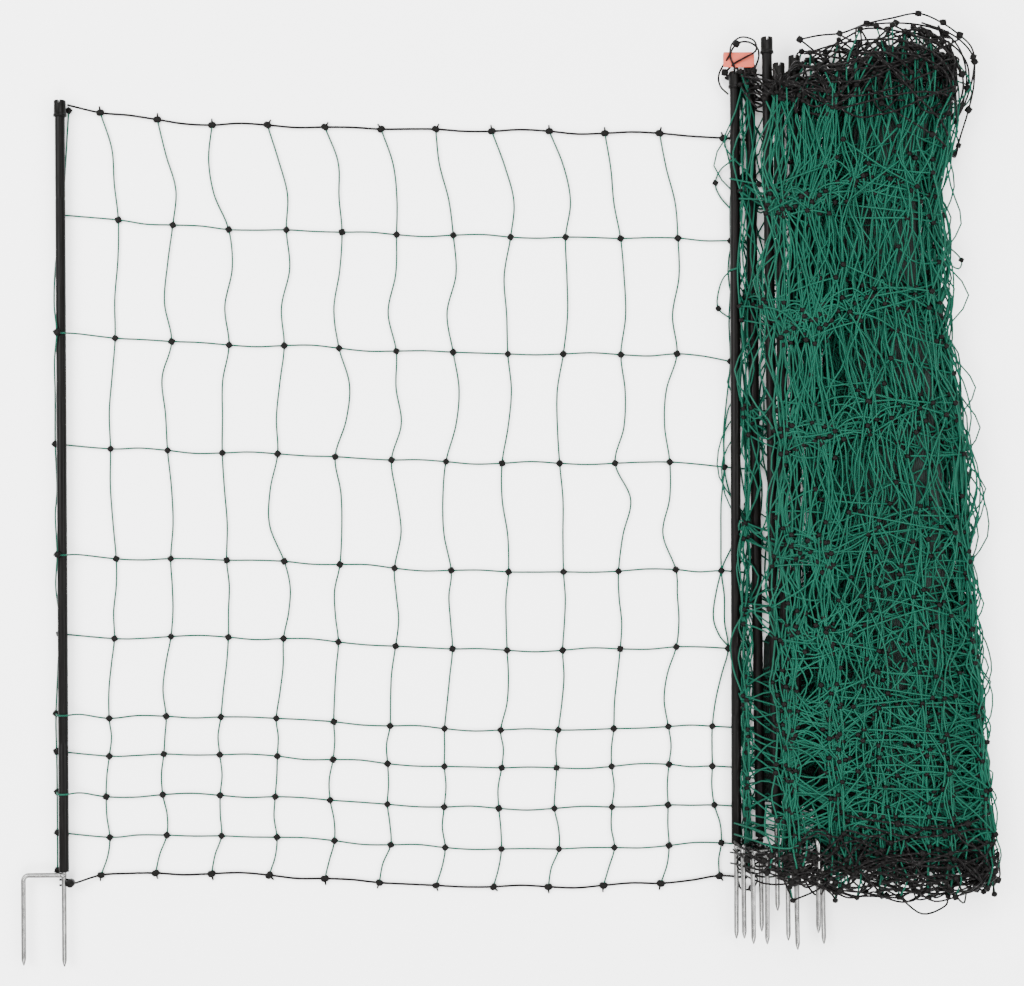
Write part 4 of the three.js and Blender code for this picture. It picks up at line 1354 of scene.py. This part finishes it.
def make_camera():
    """A camera straight above, framed as the photograph is."""
    data = bpy.data.cameras.new("camera")
    data.sensor_width = SENSOR_WIDTH
    data.lens = SENSOR_WIDTH * (CAMERA_HEIGHT - SUBJECT_Z) / FRAME_WIDTH
    data.clip_start = 0.05
    camera = bpy.data.objects.new("camera", data)
    camera.location = (*CAMERA_PLACE, CAMERA_HEIGHT)
    bpy.context.scene.collection.objects.link(camera)
    bpy.context.scene.camera = camera


def make_light(name, place, size, power):
    """A square soft light that points at the model's middle."""
    data = bpy.data.lights.new(name, "AREA")
    data.shape = "SQUARE"
    data.size = size
    data.energy = power
    light = bpy.data.objects.new(name, data)
    light.location = place
    light.rotation_euler = Vector(place).to_track_quat("Z", "Y").to_euler()
    light.visible_camera = False
    bpy.context.scene.collection.objects.link(light)


# Soft lights all round with the strongest on the left, so that the tubes catch a line of light: their
# places in metres and their power
SOFT_LIGHT_SIZE = 1.8
SOFT_LIGHTS = (
    ("left light", (-2.0, 0.5, 2.2), 190),
    ("right light", (2.1, -0.4, 2.2), 130),
    ("far light", (0.3, 2.1, 2.3), 140),
    ("near light", (-0.2, -2.1, 2.3), 130),
)
SKY_OVERHEAD = 1.9
SKY_AT_HORIZON = 0.4


def make_world():
    """A pale sky, darker near the horizon so that round edges darken."""
    setting = bpy.data.worlds.new("studio")
    setting.use_nodes = True
    shader = Shader(setting.node_tree)
    direction = shader.node("ShaderNodeTexCoord").outputs["Generated"]
    rise = shader.node("ShaderNodeSeparateXYZ", Vector=direction).outputs["Z"]
    background = shader.node("ShaderNodeBackground", Color=(1, 1, 1, 1))
    shader.feed(background, "Strength", shader.between(rise, 0.0, 0.7, SKY_AT_HORIZON, SKY_OVERHEAD))
    output = shader.node("ShaderNodeOutputWorld")
    shader.tree.links.new(background.outputs[0], output.inputs["Surface"])
    bpy.context.scene.world = setting


def make_floor():
    """A plain pale floor."""
    bm = bmesh.new()
    bmesh.ops.create_grid(bm, x_segments=4, y_segments=4, size=6)
    mesh = bpy.data.meshes.new("floor")
    bm.to_mesh(mesh)
    bm.free()
    floor = link_mesh("floor", mesh, "pale floor")


# Operators


class NETTING_OT_stage(bpy.types.Operator):
    """Make the floor, the lights and the camera"""

    bl_idname = "netting.make_stage"
    bl_label = "Stage"

    def execute(self, context):
        make_camera()
        make_world()
        make_floor()
        for name, place, power in SOFT_LIGHTS:
            make_light(name, place, SOFT_LIGHT_SIZE, power)
        return {"FINISHED"}


class NETTING_OT_posts(bpy.types.Operator):
    """Make the end post and the six posts in the bundle"""

    bl_idname = "netting.make_posts"
    bl_label = "Posts"

    def execute(self, context):
        for prefix, post in POSTS.items():
            make_tube(prefix, post)
            make_head(prefix, post)
            make_spike(prefix, post)
        return {"FINISHED"}


class NETTING_OT_clip(bpy.types.Operator):
    """Make the clip that holds the bottom line on the end post's spike"""

    bl_idname = "netting.make_clip"
    bl_label = "Line clip"

    def execute(self, context):
        make_clip()
        return {"FINISHED"}


class NETTING_OT_tag(bpy.types.Operator):
    """Make the blank tag at the bundle's top"""

    bl_idname = "netting.make_tag"
    bl_label = "Blank tag"

    def execute(self, context):
        make_tag()
        return {"FINISHED"}


PANEL_STEP = 5.0
LINE_STEP = 1.5
LINE_PITCH = 9.0
TOP_LINE_START_RISE = 9


class NETTING_OT_panel_cords(bpy.types.Operator):
    """Make the green cords of the spread panel and the cord at the net's edge"""

    bl_idname = "netting.make_panel_cords"
    bl_label = "Panel cords"

    def execute(self, context):
        sizes = context.scene.netting_sizes
        radius = sizes.cord / 2
        paths = [even_path(edge_cord_points(), PANEL_STEP)]
        for column in range(COLUMN_COUNT + 1):
            paths.append(even_path(upright_points(column, sizes.spacing), PANEL_STEP))
        for row in range(1, BOTTOM_ROW):
            paths.append(even_path(row_points(row, row_start(row), sizes.spacing), PANEL_STEP))
        parts = [swept(path, radius, 8) for path in paths]
        cords = joined_object("panel_cords", parts, "green twine")
        finish_piece(cords, ["net_mesh"])
        return {"FINISHED"}


class NETTING_OT_lines(bpy.types.Operator):
    """Make the top and bottom lines of the spread panel"""

    bl_idname = "netting.make_lines"
    bl_label = "Top and bottom lines"

    def execute(self, context):
        sizes = context.scene.netting_sizes
        radius = sizes.line / 2
        top_height = ROW_HEIGHTS[TOP_ROW] + TOP_LINE_START_RISE
        starts = {
            TOP_ROW: (end_post_axis(top_height) + COLLAR_D / 2 + FIT_GAP + 0.6, top_height, END_POST_Z),
            BOTTOM_ROW: (CLIP_BODY_D + SPIKE_R + FIT_GAP * 2, -CLIP_DROP, END_POST_Z),
        }
        for name, row in (("top_line", TOP_ROW), ("bottom_line", BOTTOM_ROW)):
            path = even_path(row_points(row, [starts[row]], sizes.spacing), LINE_STEP)
            part = swept(path, radius * 1.1, 12, lobes=3, lobe_depth=0.14, pitch=LINE_PITCH)
            line = joined_object(f"{name}_twine", [part], "black twine with wires")
            finish_piece(line, [name])
        return {"FINISHED"}


class NETTING_OT_panel_knots(bpy.types.Operator):
    """Make the knots of the spread panel and of its lines"""

    bl_idname = "netting.make_panel_knots"
    bl_label = "Panel knots"

    def execute(self, context):
        sizes = context.scene.netting_sizes
        rng = np.random.default_rng(sizes.seed + 1)
        inner = [panel_knot(row, column, sizes.spacing)
                 for row in range(1, BOTTOM_ROW) for column in range(COLUMN_COUNT + 1)]
        inner += [edge_knot(row) for row in range(len(ROW_HEIGHTS))]
        places = np.array(inner)
        spin = rng.normal(0, 0.25, len(places))
        tilt = rng.normal(0, 0.12, len(places))
        turns = np.einsum("nij,njk->nik", turns_about(0, tilt), turns_about(2, spin))
        radii = sizes.knot / 2 * rng.uniform(0.96, 1.05, len(places))
        part = copies(knot_template(16, 10, 8), places, radii, turns)
        knots = joined_object("panel_knots", [part], "knot plastic")
        finish_piece(knots)
        tied = []
        for row, half_turn in ((TOP_ROW, 0.0), (BOTTOM_ROW, math.pi)):
            places = np.array([panel_knot(row, column, sizes.spacing) for column in range(COLUMN_COUNT + 1)])
            spin = half_turn + rng.normal(0, 0.35, len(places))
            radii = sizes.line_knot / 2 * 0.95 * rng.uniform(0.94, 1.06, len(places))
            tied.append(copies(spindle_template(), places, radii, turns_about(2, spin)))
        line_knots = joined_object("line_knots", tied, "knot plastic")
        finish_piece(line_knots)
        return {"FINISHED"}


class NETTING_OT_folded_net(bpy.types.Operator):
    """Make the folded part of the net: its uprights, rows, lines and knots"""

    bl_idname = "netting.make_folded_net"
    bl_label = "Folded net"

    def execute(self, context):
        sizes = context.scene.netting_sizes
        cord_r, line_r = sizes.cord / 2, sizes.line / 2
        knots, bands, rng = folded_knots(sizes)
        knots = clear_of_posts(knots, sizes.knot / 2 * 0.8)
        uprights = clear_of_posts(smooth_paths(folded_uprights(knots, rng), 3), cord_r)
        beside = bands < BANDS_BESIDE_POSTS
        for name, node, chosen in (
                ("folds_at_posts", "folded_net_at_posts", beside), ("folds", "folded_net", ~beside)):
            cords = joined_object(name, [swept(uprights[chosen], cord_r, 5)], "green twine")
            finish_piece(cords, [node])
        rows = folded_rows(knots, bands, rng, sizes.spacing)
        green = clear_of_posts(smooth_paths(rows[:, 1:-1].reshape(-1, 4, 3), 2), cord_r)
        cords = joined_object("folded_rows", [swept(green, cord_r, 5)], "green twine")
        finish_piece(cords)
        black = np.concatenate([line_rows(rows[:, 0], rng), line_rows(rows[:, -1], rng)])
        black = clear_of_posts(smooth_paths(black, 5), line_r)
        lines = joined_object("folded_lines", [swept(black, line_r, 6)], "black twine with wires")
        finish_piece(lines)
        small, large = knots[:, 1:-1].reshape(-1, 3), knots[:, [0, -1]].reshape(-1, 3)
        template = knot_template(6, 4, 0)
        small_part = copies(
            template, small, sizes.knot / 2 * 0.94 * rng.uniform(0.92, 1.05, len(small)),
            scattered_turns(rng, len(small), 0.5))
        large_part = copies(
            template, large, sizes.line_knot / 2 * 0.9 * rng.uniform(0.85, 1.05, len(large)),
            scattered_turns(rng, len(large), 0.5))
        lumps = joined_object("folded_knots", [small_part, large_part], "knot plastic")
        finish_piece(lumps)
        return {"FINISHED"}


CORE_TOP_Z = 51.0
CORE_UNDER_POSTS_Z = 6.0
CORE_INSET = 15.0
CORE_LEFT_PIXELS = (
    (30, 824), (560, 824), (640, 765), (798, 762), (812, 824), (866, 826), (890, 850),
)
CORE_SLOPE = (1118.0, 1175.0)
CORE_BOTTOM = 2.0
CORE_TOP = 1130.0
CORE_CELLS = (28, 130)
CORE_SIDE_STEEPNESS = 8
CORE_END_STEEPNESS = 20
CORE_FLOOR_Z = 0.4
CORE_RIM_Z = 1.2


class NETTING_OT_core(bpy.types.Operator):
    """Make the hidden middle of the bundle: one lumpy body that stands for its innermost folds, coloured as
    painted shade
    """

    bl_idname = "netting.make_core"
    bl_label = "Hidden core"

    def execute(self, context):
        bm = bmesh.new()
        bmesh.ops.create_grid(bm, x_segments=CORE_CELLS[0], y_segments=CORE_CELLS[1], size=0.5)
        for vert in bm.verts:
            share, rise = vert.co.x + 0.5, vert.co.y + 0.5
            y = CORE_BOTTOM + rise * (CORE_TOP - CORE_BOTTOM)
            right = float(edge_at(FOLDED_RIGHT_PIXELS, y)) - CORE_INSET
            left = float(edge_at(CORE_LEFT_PIXELS, y))
            x = left + share * (right - left)
            height = float(np.interp(x, CORE_SLOPE, (CORE_UNDER_POSTS_Z, CORE_TOP_Z)))
            sides = CORE_SIDE_STEEPNESS * min(share, 1 - share)
            ends = CORE_END_STEEPNESS * min(rise, 1 - rise)
            edge = min(1.0, sides, ends)
            lump = math.sin(x * 0.21 + 3 * math.sin(y * 0.013)) * math.sin(y * 0.05 + x * 0.03)
            vert.co = (x, y, CORE_RIM_Z + edge * (height - CORE_RIM_Z) * (0.92 + 0.08 * lump))
        bmesh.ops.recalc_face_normals(bm, faces=bm.faces[:])
        if bm.faces[0].normal.z < 0:
            bmesh.ops.reverse_faces(bm, faces=bm.faces[:])
        grown = bmesh.ops.extrude_face_region(bm, geom=bm.faces[:], use_keep_orig=True)
        for item in grown["geom"]:
            if isinstance(item, bmesh.types.BMVert):
                item.co.z = CORE_FLOOR_Z
        bmesh.ops.recalc_face_normals(bm, faces=bm.faces[:])
        core = bmesh_object("folded_core_painted_shade", bm, Matrix.Identity(4), 60, "innermost folds")
        finish_piece(core)
        return {"FINISHED"}


LOOP_SIDES = 8
LOOP_STEP = 4.0


class NETTING_OT_loose_loops(bpy.types.Operator):
    """Make the loops of cord and line that stand out of the bundle"""

    bl_idname = "netting.make_loose_loops"
    bl_label = "Loose loops"

    def execute(self, context):
        sizes = context.scene.netting_sizes
        rng = np.random.default_rng(sizes.seed + 2)
        lines = loop_cords(BLACK_LOOPS + FOOT_LOOPS, sizes.line / 2, LOOP_SIDES, LOOP_STEP)
        finish_piece(joined_object("loose_lines", lines, "black twine with wires"))
        cords = loop_cords(GREEN_LOOPS + FOOT_CORDS, sizes.cord / 2, LOOP_SIDES, LOOP_STEP)
        finish_piece(joined_object("loose_cords", cords, "green twine"))
        parts = []
        for pixels, width in ((BLACK_LOOP_KNOTS, sizes.line_knot), (GREEN_LOOP_KNOTS, sizes.knot)):
            places = clear_of_posts(np.array([seen(*pixel) for pixel in pixels]), width / 2 * 0.8)
            radii = width / 2 * 0.88 * rng.uniform(0.94, 1.04, len(places))
            turns = scattered_turns(rng, len(places), 0.3)
            parts.append(copies(knot_template(12, 8, 6), places, radii, turns))
        knots = joined_object("loose_knots", parts, "knot plastic")
        finish_piece(knots)
        return {"FINISHED"}


class NETTING_PT_sidebar(bpy.types.Panel):
    """Lists the pieces, their sizes and their colours"""

    bl_idname = "NETTING_PT_sidebar"
    bl_label = "Electric poultry netting"
    bl_space_type = "VIEW_3D"
    bl_region_type = "UI"
    bl_category = "Netting"

    def draw(self, context):
        layout = self.layout
        for group in (context.scene.netting_sizes, context.scene.netting_colours):
            box = layout.box()
            for name in group.bl_rna.properties.keys():
                if name not in ("rna_type", "name"):
                    box.prop(group, name)
        for operator in OPERATORS:
            layout.operator(operator.bl_idname)


OPERATORS = (
    NETTING_OT_stage,
    NETTING_OT_posts,
    NETTING_OT_clip,
    NETTING_OT_tag,
    NETTING_OT_panel_cords,
    NETTING_OT_lines,
    NETTING_OT_panel_knots,
    NETTING_OT_folded_net,
    NETTING_OT_core,
    NETTING_OT_loose_loops,
)
CLASSES = (NettingSizes, NettingColours, *OPERATORS, NETTING_PT_sidebar)


def register():
    for cls in CLASSES:
        bpy.utils.register_class(cls)
    bpy.types.Scene.netting_sizes = PointerProperty(type=NettingSizes)
    bpy.types.Scene.netting_colours = PointerProperty(type=NettingColours)


def unregister():
    del bpy.types.Scene.netting_colours
    del bpy.types.Scene.netting_sizes
    for cls in reversed(CLASSES):
        bpy.utils.unregister_class(cls)


def main():
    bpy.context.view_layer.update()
    register()
    for operator in OPERATORS:
        group, name = operator.bl_idname.split(".")
        getattr(getattr(bpy.ops, group), name)()


if __name__ == "__main__":
    main()
